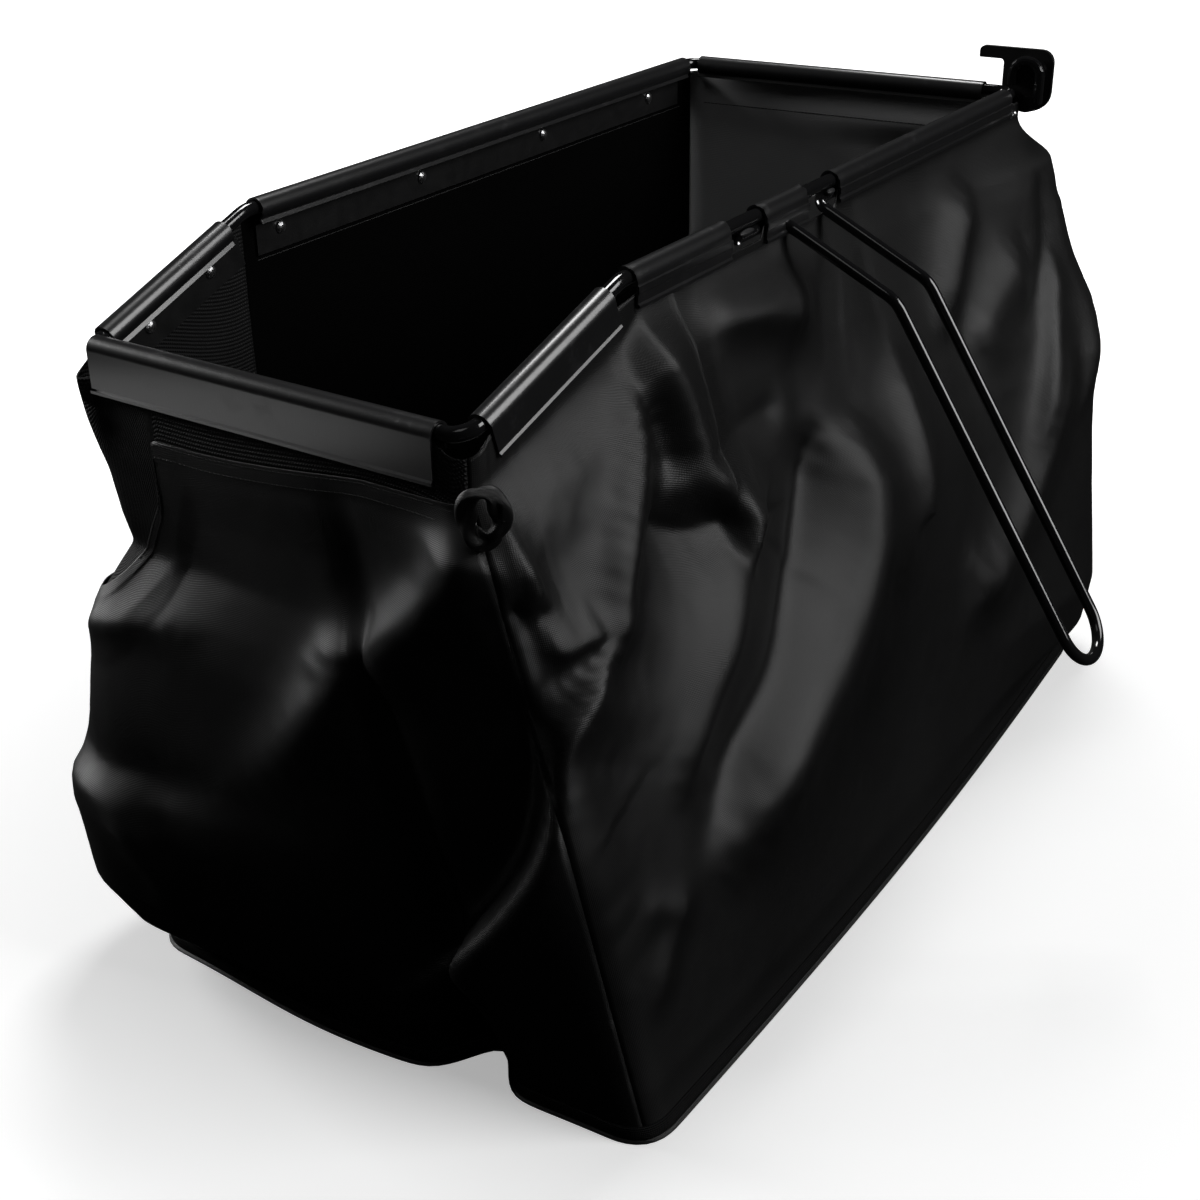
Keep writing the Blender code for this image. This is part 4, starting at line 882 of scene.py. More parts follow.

# Folds: height, width to the left and to the right as seen from outside while the fold runs
# down, roundness of the crest, how soft its start and its end are, and the points along it.
# The routes were first picked on the photo. A scratch program then fitted most of these numbers
# to the photo's shading and wrote them here, and a few were changed by hand after that.
FOLDS = (
    # front wall: the lit ridge from the corner down to the left, and the valley beside it
    (0.021, 0.018, 0.027, 0.0044, 0.10, 0.50,
     ((0.109, -0.388, 0.392), (0.074, -0.388, 0.340), (0.043, -0.388, 0.308),
      (0.004, -0.388, 0.278), (-0.032, -0.388, 0.223), (-0.094, -0.388, 0.170))),
    (0.0032, 0.042, 0.051, 0.010, 0.30, 0.40,
     ((0.090, -0.388, 0.330), (0.019, -0.388, 0.220), (-0.057, -0.388, 0.104))),
    # front left lobes: the thin crease, the deep one between the lobes, and the lower lip
    (0.010, 0.0079, 0.0081, 0.001, 0.15, 0.60,
     ((-0.214, -0.388, 0.258), (-0.163, -0.388, 0.268), (-0.106, -0.388, 0.265))),
    (-0.011, 0.030, 0.025, 0.0031, 0.25, 0.45,
     ((-0.239, -0.388, 0.166), (-0.202, -0.388, 0.156), (-0.166, -0.388, 0.163),
      (-0.122, -0.388, 0.163), (-0.086, -0.388, 0.189))),
    (0.011, 0.018, 0.013, 0.0019, 0.10, 0.45,
     ((-0.236, -0.388, 0.149), (-0.219, -0.388, 0.145), (-0.177, -0.388, 0.150),
      (-0.153, -0.388, 0.126), (-0.130, -0.388, 0.097), (-0.152, -0.388, 0.053))),
    # small wrinkles on the front ridge
    (0.0071, 0.0042, 0.0079, 0.001, 0.40, 0.40,
     ((-0.024, -0.388, 0.287), (0.004, -0.388, 0.293), (0.030, -0.388, 0.298))),
    (0.0031, 0.004, 0.0062, 0.001, 0.40, 0.40,
     ((-0.034, -0.388, 0.276), (-0.007, -0.388, 0.281), (0.015, -0.388, 0.285))),
    # front right corner: the leaf shaped ridge that runs round to the front
    (0.022, 0.0073, 0.032, 0.0019, 0.12, 0.25,
     ((0.150, -0.313, 0.310), (0.156, -0.352, 0.288), (0.156, -0.388, 0.265),
      (0.146, -0.388, 0.219), (0.132, -0.388, 0.176), (0.065, -0.388, 0.079),
      (0.015, -0.388, 0.044))),
    (-0.014, 0.030, 0.018, 0.004, 0.25, 0.40,
     ((0.146, -0.403, 0.309), (0.130, -0.388, 0.241), (0.106, -0.388, 0.164),
      (0.037, -0.388, 0.088))),
    # panel under the front right clip
    (0.017, 0.011, 0.0066, 0.0011, 0.15, 0.20,
     ((0.122, -0.390, 0.431), (0.129, -0.376, 0.404), (0.136, -0.374, 0.371),
      (0.142, -0.352, 0.333))),
    (0.017, 0.015, 0.019, 0.0035, 0.20, 0.20,
     ((0.114, -0.244, 0.452), (0.128, -0.248, 0.407), (0.136, -0.275, 0.369),
      (0.142, -0.298, 0.335), (0.150, -0.327, 0.282))),
    (-0.015, 0.019, 0.013, 0.0023, 0.30, 0.30,
     ((0.138, -0.395, 0.355), (0.140, -0.379, 0.342), (0.144, -0.351, 0.338))),
    (0.015, 0.0089, 0.018, 0.0019, 0.20, 0.20,
     ((0.141, -0.394, 0.351), (0.146, -0.372, 0.333), (0.148, -0.363, 0.310),
      (0.150, -0.330, 0.313), (0.150, -0.315, 0.312))),
    (0.015, 0.012, 0.011, 0.001, 0.25, 0.25,
     ((0.138, -0.419, 0.364), (0.146, -0.398, 0.332), (0.151, -0.396, 0.303),
      (0.157, -0.384, 0.281))),
    # right bend: sharp ridge from the clip, the wedge beside it, the pocket and its ledge
    (0.019, 0.018, 0.034, 0.0018, 0.06, 0.08,
     ((0.113, -0.251, 0.462), (0.122, -0.209, 0.432), (0.136, -0.195, 0.359),
      (0.149, -0.150, 0.312))),
    (-0.011, 0.014, 0.015, 0.0029, 0.10, 0.20,
     ((0.114, -0.262, 0.460), (0.126, -0.240, 0.423), (0.134, -0.220, 0.385),
      (0.138, -0.214, 0.358))),
    (-0.021, 0.029, 0.016, 0.0022, 0.30, 0.12,
     ((0.138, -0.260, 0.362), (0.141, -0.225, 0.329), (0.148, -0.170, 0.322))),
    (0.0054, 0.030, 0.0089, 0.0015, 0.20, 0.15,
     ((0.139, -0.264, 0.365), (0.143, -0.217, 0.338), (0.149, -0.153, 0.298))),
    # right wall: the long valley, the long ridge behind it and the swags at the rear
    (-0.017, 0.022, 0.014, 0.0034, 0.15, 0.30,
     ((0.131, -0.037, 0.349), (0.144, -0.084, 0.281), (0.157, -0.152, 0.222),
      (0.161, -0.223, 0.190), (0.167, -0.284, 0.141))),
    (0.023, 0.023, 0.044, 0.0082, 0.15, 0.30,
     ((0.129, 0.000, 0.347), (0.147, -0.029, 0.259), (0.160, -0.081, 0.211),
      (0.167, -0.179, 0.180), (0.176, -0.268, 0.109))),
    (0.011, 0.018, 0.014, 0.0026, 0.35, 0.10,
     ((0.145, 0.077, 0.377), (0.151, 0.068, 0.305), (0.160, 0.063, 0.270),
      (0.168, 0.062, 0.236))),
    (0.0009, 0.025, 0.030, 0.0045, 0.30, 0.35,
     ((0.157, 0.093, 0.261), (0.168, -0.003, 0.170), (0.173, -0.084, 0.145),
      (0.180, -0.171, 0.118))),
    (0.0038, 0.020, 0.018, 0.0039, 0.35, 0.35,
     ((0.182, 0.136, 0.192), (0.188, 0.182, 0.138), (0.195, 0.218, 0.112))),
    (0.012, 0.025, 0.025, 0.0031, 0.25, 0.35,
     ((0.140, 0.352, 0.319), (0.160, 0.307, 0.249), (0.176, 0.226, 0.156),
      (0.185, 0.109, 0.118))),
    (-0.0058, 0.011, 0.025, 0.0045, 0.15, 0.35,
     ((0.120, 0.364, 0.436), (0.130, 0.357, 0.383), (0.141, 0.329, 0.342),
      (0.151, 0.256, 0.312))),
    (0.011, 0.013, 0.019, 0.0018, 0.15, 0.35,
     ((0.124, 0.403, 0.418), (0.138, 0.407, 0.353), (0.151, 0.378, 0.294),
      (0.164, 0.361, 0.248), (0.174, 0.326, 0.231))),
    (0.013, 0.022, 0.013, 0.0054, 0.30, 0.40,
     ((0.113, 0.247, 0.450), (0.121, 0.202, 0.400), (0.131, 0.149, 0.339))),
    (0.016, 0.020, 0.027, 0.0057, 0.30, 0.30,
     ((0.112, -0.177, 0.468), (0.114, -0.103, 0.438), (0.113, -0.008, 0.414))),
    # low at the front of the right wall
    (0.004, 0.010, 0.014, 0.002, 0.35, 0.35,
     ((0.179, -0.350, 0.150), (0.187, -0.320, 0.135), (0.194, -0.285, 0.118))),
    (0.004, 0.012, 0.012, 0.002, 0.30, 0.40,
     ((0.189, -0.293, 0.142), (0.192, -0.320, 0.112), (0.195, -0.350, 0.070))),
    # right wall: edge of the ledge, the cross crease and the folds behind the handle
    (0.008, 0.016, 0.012, 0.004, 0.20, 0.30,
     ((0.135, -0.158, 0.321), (0.141, -0.189, 0.293), (0.152, -0.251, 0.232),
      (0.162, -0.292, 0.178))),
    (-0.0039, 0.0092, 0.010, 0.002, 0.20, 0.20,
     ((0.122, -0.209, 0.369), (0.123, -0.140, 0.369), (0.125, -0.075, 0.367))),
    (0.0097, 0.0072, 0.019, 0.002, 0.20, 0.30,
     ((0.125, 0.364, 0.372), (0.143, 0.309, 0.303), (0.161, 0.261, 0.218))),
    (0.012, 0.018, 0.034, 0.0054, 0.30, 0.30,
     ((0.124, 0.312, 0.385), (0.131, 0.252, 0.355), (0.135, 0.192, 0.319))),
    (0.0027, 0.016, 0.016, 0.0037, 0.30, 0.30,
     ((0.170, 0.209, 0.171), (0.173, 0.175, 0.152), (0.175, 0.146, 0.148))),
    (0.0075, 0.042, 0.030, 0.0084, 0.30, 0.30,
     ((0.143, 0.126, 0.297), (0.146, 0.076, 0.284), (0.155, 0.024, 0.251),
      (0.166, -0.006, 0.196))),
)


def curved(route):
    """The route with its corners cut twice, so that it bends softly."""
    for _ in range(2):
        cut = np.stack([route[:-1] * 0.75 + route[1:] * 0.25,
                        route[:-1] * 0.25 + route[1:] * 0.75], axis=1).reshape(-1, 3)
        route = np.concatenate([route[:1], cut, route[-1:]])
    return route


def fold_height(points, normals, fold):
    """Height of one fold: its peak times exp(-(q/w)^1.4), faded at both ends of its route.

    q is the distance from the route, rounded off at the crest, and w is the width on that side.
    Side and travel are means over the route's stretches, weighted by distance to the power -6.
    """
    height, left, right, crest, fade_in, fade_out, route = fold
    route = curved(np.array(route))
    raised = np.zeros(points.shape[:-1])
    reach = 4.0 * max(left, right) + crest
    near = np.all((points > route.min(axis=0) - (0.06, reach, reach))
                  & (points < route.max(axis=0) + (0.06, reach, reach)), axis=-1)
    points, normals = points[near], normals[near]
    lengths = np.linalg.norm(np.diff(route, axis=0), axis=1)
    starts = np.concatenate([[0.0], np.cumsum(lengths)])
    nearest = np.full(len(points), np.inf)
    side = np.zeros(len(points))
    travel = np.zeros(len(points))
    total = np.zeros(len(points))
    for k, (begin, end) in enumerate(zip(route, route[1:])):
        way = end - begin
        share = np.clip(((points - begin) @ way) / (way @ way), 0.0, 1.0)
        gap = points - (begin + share[..., None] * way)
        gap = gap - normals * (gap * normals).sum(axis=-1, keepdims=True) * 0.7
        far = np.linalg.norm(gap, axis=-1)
        turn = (np.cross(way, gap) * normals).sum(axis=-1) / lengths[k]
        nearest = np.minimum(nearest, far)
        weight = (far ** 2 + 0.002 ** 2) ** -3
        side += weight * turn
        travel += weight * (starts[k] + share * lengths[k])
        total += weight
    side = side / total
    travel = travel / total / starts[-1]
    rounded = np.sqrt(nearest ** 2 + crest ** 2) - crest
    width = left + (right - left) * smooth(side / 0.004, -1.0, 1.0)
    fade = smooth(travel, -0.02, fade_in) * (1.0 - smooth(travel, 1.0 - fade_out, 1.02))
    raised[near] = height * np.exp(-(rounded / width) ** 1.4) * fade
    return raised


def bulge_height(points, bulge):
    """Height of a bulge: its peak times exp(-r^2), where r is measured in its three reaches."""
    centre, reach, height = bulge
    return height * np.exp(-(((points - centre) / reach) ** 2).sum(axis=-1))


def softened(heights, knots, spread=0.0015):
    """The knots' line at these heights, averaged over a short stretch up and down."""
    height, out = np.array(knots).T
    return sum(np.interp(heights + spread * k, height, out) for k in (-2, -1, 0, 1, 2)) / 5.0


def wall_points(bag, columns, heights, offset=0.0):
    """Inner face of the wall: the taut wall moved outward by its bulges, folds and slack.

    The slack dies away at the clip and at the base seam. The small wrinkles are soft noise,
    strongest under the front clips and at the front right corner.
    """
    settings = bpy.context.scene.catcher_cloth
    columns = np.broadcast_to(columns, heights.shape)
    flat = bag.taut(columns, heights)
    normals = bag.normals[columns]
    slack = sum(bulge_height(flat, bulge) for bulge in BULGES)
    folds = sum(fold_height(flat, normals, fold) for fold in FOLDS)
    slack = slack + folds * settings.fold_share
    for corner, knots, reach in SLACK_CORNERS:
        edge = bag.taut(np.full(heights.shape, bag.middle[corner]), heights)
        apart = np.linalg.norm(flat[..., :2] - edge[..., :2], axis=-1)
        slack = slack + softened(heights, knots) * np.exp(-(apart / reach) ** 2)
    near_corner = np.linalg.norm((flat - (0.13, -0.36, 0.36)) / (1.0, 1.0, 1.2), axis=-1)
    strength = 0.25 + 0.9 * np.exp(-(near_corner / 0.11) ** 2)
    crumple = ripple(flat, 0.075, 5) + 0.35 * ripple(flat, 0.024, 9)
    slack = slack + settings.crumple * strength * crumple
    below = (bag.upper[:, 2] - bag.holds)[columns] - heights
    slack = slack * smooth(below, 0.0, 0.032) * smooth(heights, BODY_BOTTOM, 0.035)
    return flat + normals * (slack + offset)[..., None]


def rows_between(top, bottom, pitch):
    """Heights of rows at about equal steps between two lines."""
    count = max(2, round(float(np.max(top - bottom)) / pitch))
    share = np.linspace(0.0, 1.0, count + 1)[:, None]
    return top + (bottom - top) * share


def rows_down(edge, body, pitch):
    """Heights of rows from a wall's top edge to its body, and on to the base seam."""
    bottom = np.full(len(edge), WALL_BOTTOM)
    return np.concatenate([rows_between(edge, body, pitch)[:-1],
                           rows_between(body, bottom, pitch)])


def front_hem(bag, columns):
    """Height of the sewn top edge of the front cloth over the mesh, column by column."""
    x = bag.upper[columns][:, 0]
    y = bag.upper[columns][:, 1]
    z_clip = bag.upper[columns][:, 2] - HEM_BOTTOM
    left_x = bag.upper[bag.middle[FRONT_LEFT]][0]
    corner_y = bag.upper[bag.middle[FRONT_LEFT]][1]
    drop_from_right = HEM_FALL * smooth(-x, -0.09, 0.12)
    from_left = x - left_x
    step_down = (STEP_DEPTH * (1.0 - smooth(from_left, STEP_PLACE - STEP_SOFT, STEP_PLACE))
                 + CUT_DEPTH * (1.0 - np.clip(from_left / CUT_WIDTH, 0.0, 1.0)))
    round_corner = HEM_ROUND * smooth(y, corner_y, BEND_Y)
    front_z = FRAME_HEIGHT - FRONT_REACH * math.sin(FRONT_DROP) - HEM_BOTTOM
    return np.minimum(z_clip - HEM_LAP, front_z - drop_from_right - step_down - round_corner)


def hem_edge(bag, columns):
    """Height of the raw top edge of a wall inside its clip, lowered at the slots and hanger."""
    points = bag.upper[columns]
    edge = points[:, 2] - HEM_TOP - bag.dips[columns]
    front, rear = handle_feet()
    leg = HANDLE_RADIUS + 2.5 * FIT
    on_right = points[:, 0] > FRAME_CENTRE_X + BEND_WIDTH / 2
    for start, end, depth in (
            (NOTCHES[0][0], NOTCHES[0][1], SLOT_SHALLOW),
            (front[1] - leg * 2, front[1] + leg, SLOT_DEEP),
            (NOTCHES[1][0], NOTCHES[1][1], SLOT_DEEP)):
        inside = on_right & (points[:, 1] > start) & (points[:, 1] < end)
        edge = np.where(inside, np.minimum(edge, FRAME_HEIGHT - depth), edge)
    corner = frame_corners()[REAR_RIGHT]
    at_plate = (points[:, 0] > corner[0] + PLATE_LEFT - 0.001) & (points[:, 1] > corner[1])
    lowest = corner[2] + PLATE_BOTTOM - 0.0015
    return np.where(at_plate, np.minimum(edge, lowest), edge)


def wall_cloth(name, bag, first, last, finish, pitch):
    """A wall of cloth between two corners, from the clip to the base seam."""
    columns = bag.between(first, last)
    edge = hem_edge(bag, columns)
    body = bag.upper[columns][:, 2] - bag.holds[columns]
    return grid_object(name, wall_points(bag, columns, rows_down(edge, body, pitch)), finish)


def evened_hem(bag, columns):
    """The front hem's lowest height near each column, averaged over its neighbours."""
    span = 2 * LAP_NEAR + 1
    hems = [front_hem(bag, (columns + k) % len(bag.upper)) for k in range(1 - span, span)]
    return np.mean([np.min(hems[k:k + span], axis=0) for k in range(span)], axis=0)


def lap_offset(bag, columns, heights):
    """How far the front cloth stands off where it laps over the mesh panel."""
    down = evened_hem(bag, columns) - heights
    lap = LAP_STAND * (1.0 - np.clip((down - TUCK) / LAP_FADE, 0.0, 1.0))
    below_edge = front_hem(bag, columns) - heights
    turned = TURNED_STAND * (1.0 - smooth(below_edge, TURNED_EDGE, TURNED_EDGE * 1.25))
    return lap + turned


def seam_column(bag):
    """Column of the seam between the front cloth and the left front cloth, behind the corner."""
    return (bag.middle[FRONT_LEFT] - round(SEAM_BACK / bag.pitch)) % len(bag.upper)


def lower_cloth(name, bag, columns, finish, pitch):
    """A wall whose turned top edge is sewn over the outside of the mesh panel."""
    top = front_hem(bag, columns)
    body = evened_hem(bag, columns) - HEM_LAP
    heights = rows_down(top, body, pitch)
    grid = wall_points(bag, columns, heights, lap_offset(bag, columns, heights))
    return grid_object(name, grid, finish)


def mesh_cloth(name, bag, finish, pitch):
    """The stiff mesh panel behind the front left corner and under the front clip."""
    columns = bag.between(LEFT_BEND, FRONT_RIGHT)
    edge = hem_edge(bag, columns)
    heights = rows_between(edge, front_hem(bag, columns) - TUCK, pitch)
    corner = bag.upper[bag.middle[FRONT_LEFT]]
    apart = np.linalg.norm(bag.upper[columns] - corner, axis=1)
    in_front = np.arange(len(columns)) > bag.between(LEFT_BEND, FRONT_LEFT).size
    apart = np.where(in_front, apart * 6.0, apart)
    down = corner[2] - heights
    wide = 0.010 + 0.050 * smooth(down, 0.026, 0.045)
    stand = MESH_STAND * np.exp(-(apart / wide) ** 2) * (1.0 - smooth(down, 0.02, 0.085))
    return grid_object(name, wall_points(bag, columns, heights, stand), finish)


def twisted_loop(name, finish):
    """Slack cloth rolled into a ring: a tube round an oval, creased in turns that wind along it."""
    corner = frame_corners()[FRONT_RIGHT]
    centre = corner + np.array(LOOP_PLACE)
    across = unit(np.array(LOOP_ACROSS))
    outward = np.cross(across, UP)
    around = np.linspace(0.0, 2.0 * math.pi, 150, endpoint=False)[:, None]
    over = np.linspace(0.0, 2.0 * math.pi, 48, endpoint=False)[None, :]
    creases = (0.20 * np.sin(over * 2.0 + around * 3.0) + 0.12 * np.sin(over * 3.0 - around * 2.0)
               + 0.05 * np.sin(over * 5.0 + around * 4.0))
    gather = 1.0 - 0.35 * np.exp(-((around - math.pi / 2) / 0.5) ** 2)
    radius = LOOP_ROLL * (0.9 + creases) * gather
    wide = (LOOP_WIDTH + radius * np.cos(over)) * np.cos(around)
    tall = (LOOP_HEIGHT + radius * np.cos(over)) * np.sin(around)
    lean = radius * np.sin(over) + 0.003 * np.sin(around + 0.6)
    grid = (centre + across * wide[..., None] + UP * tall[..., None]
            + outward * lean[..., None])
    return grid_object(name, grid, finish, closed_rows=True, closed_columns=True)


def stitch_row(name, path, normals, finish):
    """A row of stitches: a thread that rises over the cloth and dips into it as |sin| does."""
    settings = bpy.context.scene.catcher_cloth
    points, travel = resampled(path, settings.stitch / 8.0)
    share = np.linspace(0.0, 1.0, len(path))
    where = np.interp(travel, np.linspace(0.0, travel[-1], len(path)), share)
    ups = np.stack([np.interp(where, share, normals[:, k]) for k in range(3)], axis=1)
    ups /= np.linalg.norm(ups, axis=1, keepdims=True)
    wave = np.abs(np.sin(math.pi * travel / settings.stitch)) ** 0.5
    lift = settings.thread * (1.25 * wave - 0.9)
    return swept(name, points + ups * lift[:, None], settings.thread, 6, finish)


def along_wall(bag, columns, heights, offset):
    """A path on the wall and its outward normals."""
    return wall_points(bag, columns, heights, offset), bag.normals[columns]


# Operators


class PieceOperator:
    """What every operator here shares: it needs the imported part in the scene."""

    @classmethod
    def poll(cls, context):
        return bool(frame["nodes"])


def hang(made, replaced):
    """Fixes a piece to the frame, in place of the solid nodes."""
    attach(made, "root")
    if replaced:
        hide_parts(*replaced)
    return made


class CATCHER_OT_finishes(PieceOperator, bpy.types.Operator):
    """Makes the materials and gives them to the clips, plate, welds and rivets"""

    bl_idname = "catcher.finishes"
    bl_label = "Finishes"

    def execute(self, context):
        make_finishes()
        by_slot = {"rod_black": "rod", "clip_black": "clip", "plate_black": "plate",
                   "weld_black": "weld", "steel": "steel", "cloth": "cloth",
                   "lining": "lining", "mesh_cloth": "mesh", "tape": "tape"}
        for part in frame["record"]["subparts"]:
            node = frame["nodes"][part["node"]]
            finish = Finishes.get(by_slot[part["material_slot"]])
            node.data.materials.clear()
            node.data.materials.append(finish)
        return {"FINISHED"}


class CATCHER_OT_rods(PieceOperator, bpy.types.Operator):
    """Makes the frame rod and the handle rod, with round enamelled surfaces"""

    bl_idname = "catcher.rods"
    bl_label = "Rods"

    def execute(self, context):
        sides = context.scene.catcher_hardware.rod_sides
        finish = Finishes.get("rod")
        route = frame_route()
        path, _ = resampled(np.concatenate([route, route[:1]]), 0.0025)
        hang(swept("frame_tube", path[:-1], ROD_DIAMETER, sides, finish, closed=True),
             ["frame_rod"])
        path, _ = resampled(handle_route(), 0.002)
        hang(swept("handle_loop", path, HANDLE_DIAMETER, sides, finish), ["handle_rod"])
        return {"FINISHED"}


class CATCHER_OT_clips(PieceOperator, bpy.types.Operator):
    """Makes the extruded clips, with the torn ends beside the handle's feet"""

    bl_idname = "catcher.clips"
    bl_label = "Clips"

    def execute(self, context):
        finish = Finishes.get("clip")
        for name, start, begin, end, depth, ridged, torn in clip_runs():
            strip = clip_strip(f"strip_{name}", start, begin, end, depth, ridged, torn, finish)
            hang(strip, [f"clip_{name}"])
        return {"FINISHED"}


class CATCHER_OT_walls(PieceOperator, bpy.types.Operator):
    """Makes the cloth walls of the bag with their folds"""

    bl_idname = "catcher.walls"
    bl_label = "Cloth walls"

    def execute(self, context):
        settings = context.scene.catcher_cloth
        bag = Bag(settings.column_pitch)
        pitch = settings.row_pitch
        cloth = Finishes.get("cloth")
        round_front = bag.between(LEFT_BEND, FRONT_RIGHT)
        seam = int(np.where(round_front == seam_column(bag))[0][0])
        left_front, front = round_front[:seam + 1], round_front[seam:]
        walls = (
            (mesh_cloth("mesh_sheet", bag, Finishes.get("mesh"), pitch), "mesh_panel",
             "mesh_cloth", (0.44, 0.20), 0.060, ["clip_front", "clip_left_front"], None),
            (lower_cloth("front_sheet", bag, front, cloth, pitch),
             "front_panel", "cloth", (0.47, 0.46), None, ["mesh_sheet"], None),
            (lower_cloth("left_front_sheet", bag, left_front, cloth, pitch),
             "left_front_panel", "cloth", (0.11, 0.29), None, ["mesh_sheet"], None),
            (wall_cloth("right_sheet", bag, FRONT_RIGHT, REAR_RIGHT, cloth, pitch),
             "right_panel", "cloth", (0.79, 0.52), None,
             ["clip_right_front", "clip_right_1", "clip_right_2", "clip_right_3"], None),
            # The rear wall's inside takes the pale finish: light painted on where light falls into
            # the bag
            (wall_cloth("rear_sheet", bag, REAR_RIGHT, REAR_LEFT, cloth, pitch),
             "rear_panel", "cloth", (0.37, 0.50), None, ["clip_rear"], Finishes.get("inner")),
            (wall_cloth("left_sheet", bag, REAR_LEFT, LEFT_BEND, cloth, pitch * 1.6),
             "left_panel", "lining", (0.62, 0.50), None, ["clip_left"], Finishes.get("lining")),
        )
        for made, node, slot, flat, area, hung, inside in walls:
            thickened(made, settings.thickness, inside=inside)
            hang(made, [node])
        return {"FINISHED"}


class CATCHER_OT_base(PieceOperator, bpy.types.Operator):
    """Makes the flat base cloth and the tape round its seam"""

    bl_idname = "catcher.base"
    bl_label = "Base and tape"

    def execute(self, context):
        settings = context.scene.catcher_cloth
        bag = Bag(settings.column_pitch)
        outline = bag.lower + bag.normals * BASE_MARGIN
        front, right, rear, left = (
            evenly(outline[bag.between(first, last)], count)[0]
            for first, last, count in (
                (FRONT_LEFT, FRONT_RIGHT, BASE_COLUMNS), (FRONT_RIGHT, REAR_RIGHT, BASE_ROWS),
                (REAR_RIGHT, REAR_LEFT, BASE_COLUMNS), (REAR_LEFT, FRONT_LEFT, BASE_ROWS)))
        grid = patch_between(front, right, rear[::-1], left[::-1])
        grid[..., 2] = BASE_THICKNESS
        base = grid_object("base_sheet", grid, Finishes.get("cloth"))
        thickened(base, BASE_THICKNESS * 0.9, outward=False)
        hang(base, ["base_panel"])
        columns = np.arange(len(bag.upper))
        heights = np.linspace(BODY_BOTTOM - FIT, WALL_BOTTOM, 9)[:, None] + 0.0 * columns
        lift = 0.0006 * np.sin(np.linspace(0.0, math.pi, 9))[:, None] + 0.0 * columns
        rim = wall_points(bag, columns, heights, settings.thickness + FIT + lift)
        tape = grid_object("base_tape", rim, Finishes.get("tape"), closed_columns=True)
        thickened(tape, TAPE)
        hang(tape, ["base_binding"])
        return {"FINISHED"}


class CATCHER_OT_loop(PieceOperator, bpy.types.Operator):
    """Makes the twisted loop of slack cloth under the bare front right corner"""

    bl_idname = "catcher.loop"
    bl_label = "Corner loop"

    def execute(self, context):
        loop = twisted_loop("corner_twist", Finishes.get("cloth"))
        hang(loop, ["corner_loop"])
        return {"FINISHED"}


class CATCHER_OT_stitches(PieceOperator, bpy.types.Operator):
    """Sews the rows of stitches along the hems"""

    bl_idname = "catcher.stitches"
    bl_label = "Stitches"

    def execute(self, context):
        settings = context.scene.catcher_cloth
        bag = Bag(settings.column_pitch)
        thread = Finishes.get("thread")
        wall = settings.thickness
        columns = bag.between(FRONT_LEFT, FRONT_RIGHT)[8:-8]
        for number, down in enumerate((0.0022, 0.0100), 1):
            heights = front_hem(bag, columns) - down
            lap = lap_offset(bag, columns, heights) + wall
            path, normals = along_wall(bag, columns, heights, lap)
            hang(stitch_row(f"front_hem_stitches_{number}", path, normals, thread), [])
        top = front_hem(bag, np.array([seam_column(bag)]))[0]
        heights = np.linspace(top - 0.002, 0.07, 260)
        for number, beside in enumerate((1, 3), 1):
            columns = np.full(len(heights), seam_column(bag) + beside)
            stands = wall + 0.0004 + lap_offset(bag, columns, heights)
            path, normals = along_wall(bag, columns, heights, stands)
            hang(stitch_row(f"seam_stitches_{number}", path, normals, thread), [])
        columns = bag.between(REAR_LEFT, LEFT_BEND)[6:-6]
        heights = bag.upper[columns][:, 2] - STRIP_TOP - STRIP_HEIGHT - 0.0035
        path, normals = along_wall(bag, columns, heights, 0.0)
        hang(stitch_row("left_hem_stitches", path, -normals, thread), [])
        columns = bag.between(REAR_RIGHT, REAR_LEFT)[8:-6]
        heights = bag.upper[columns][:, 2] - HEM_BOTTOM - 0.004
        path, normals = along_wall(bag, columns, heights, 0.0)
        hang(stitch_row("rear_hem_stitches", path, -normals, thread), [])
        return {"FINISHED"}


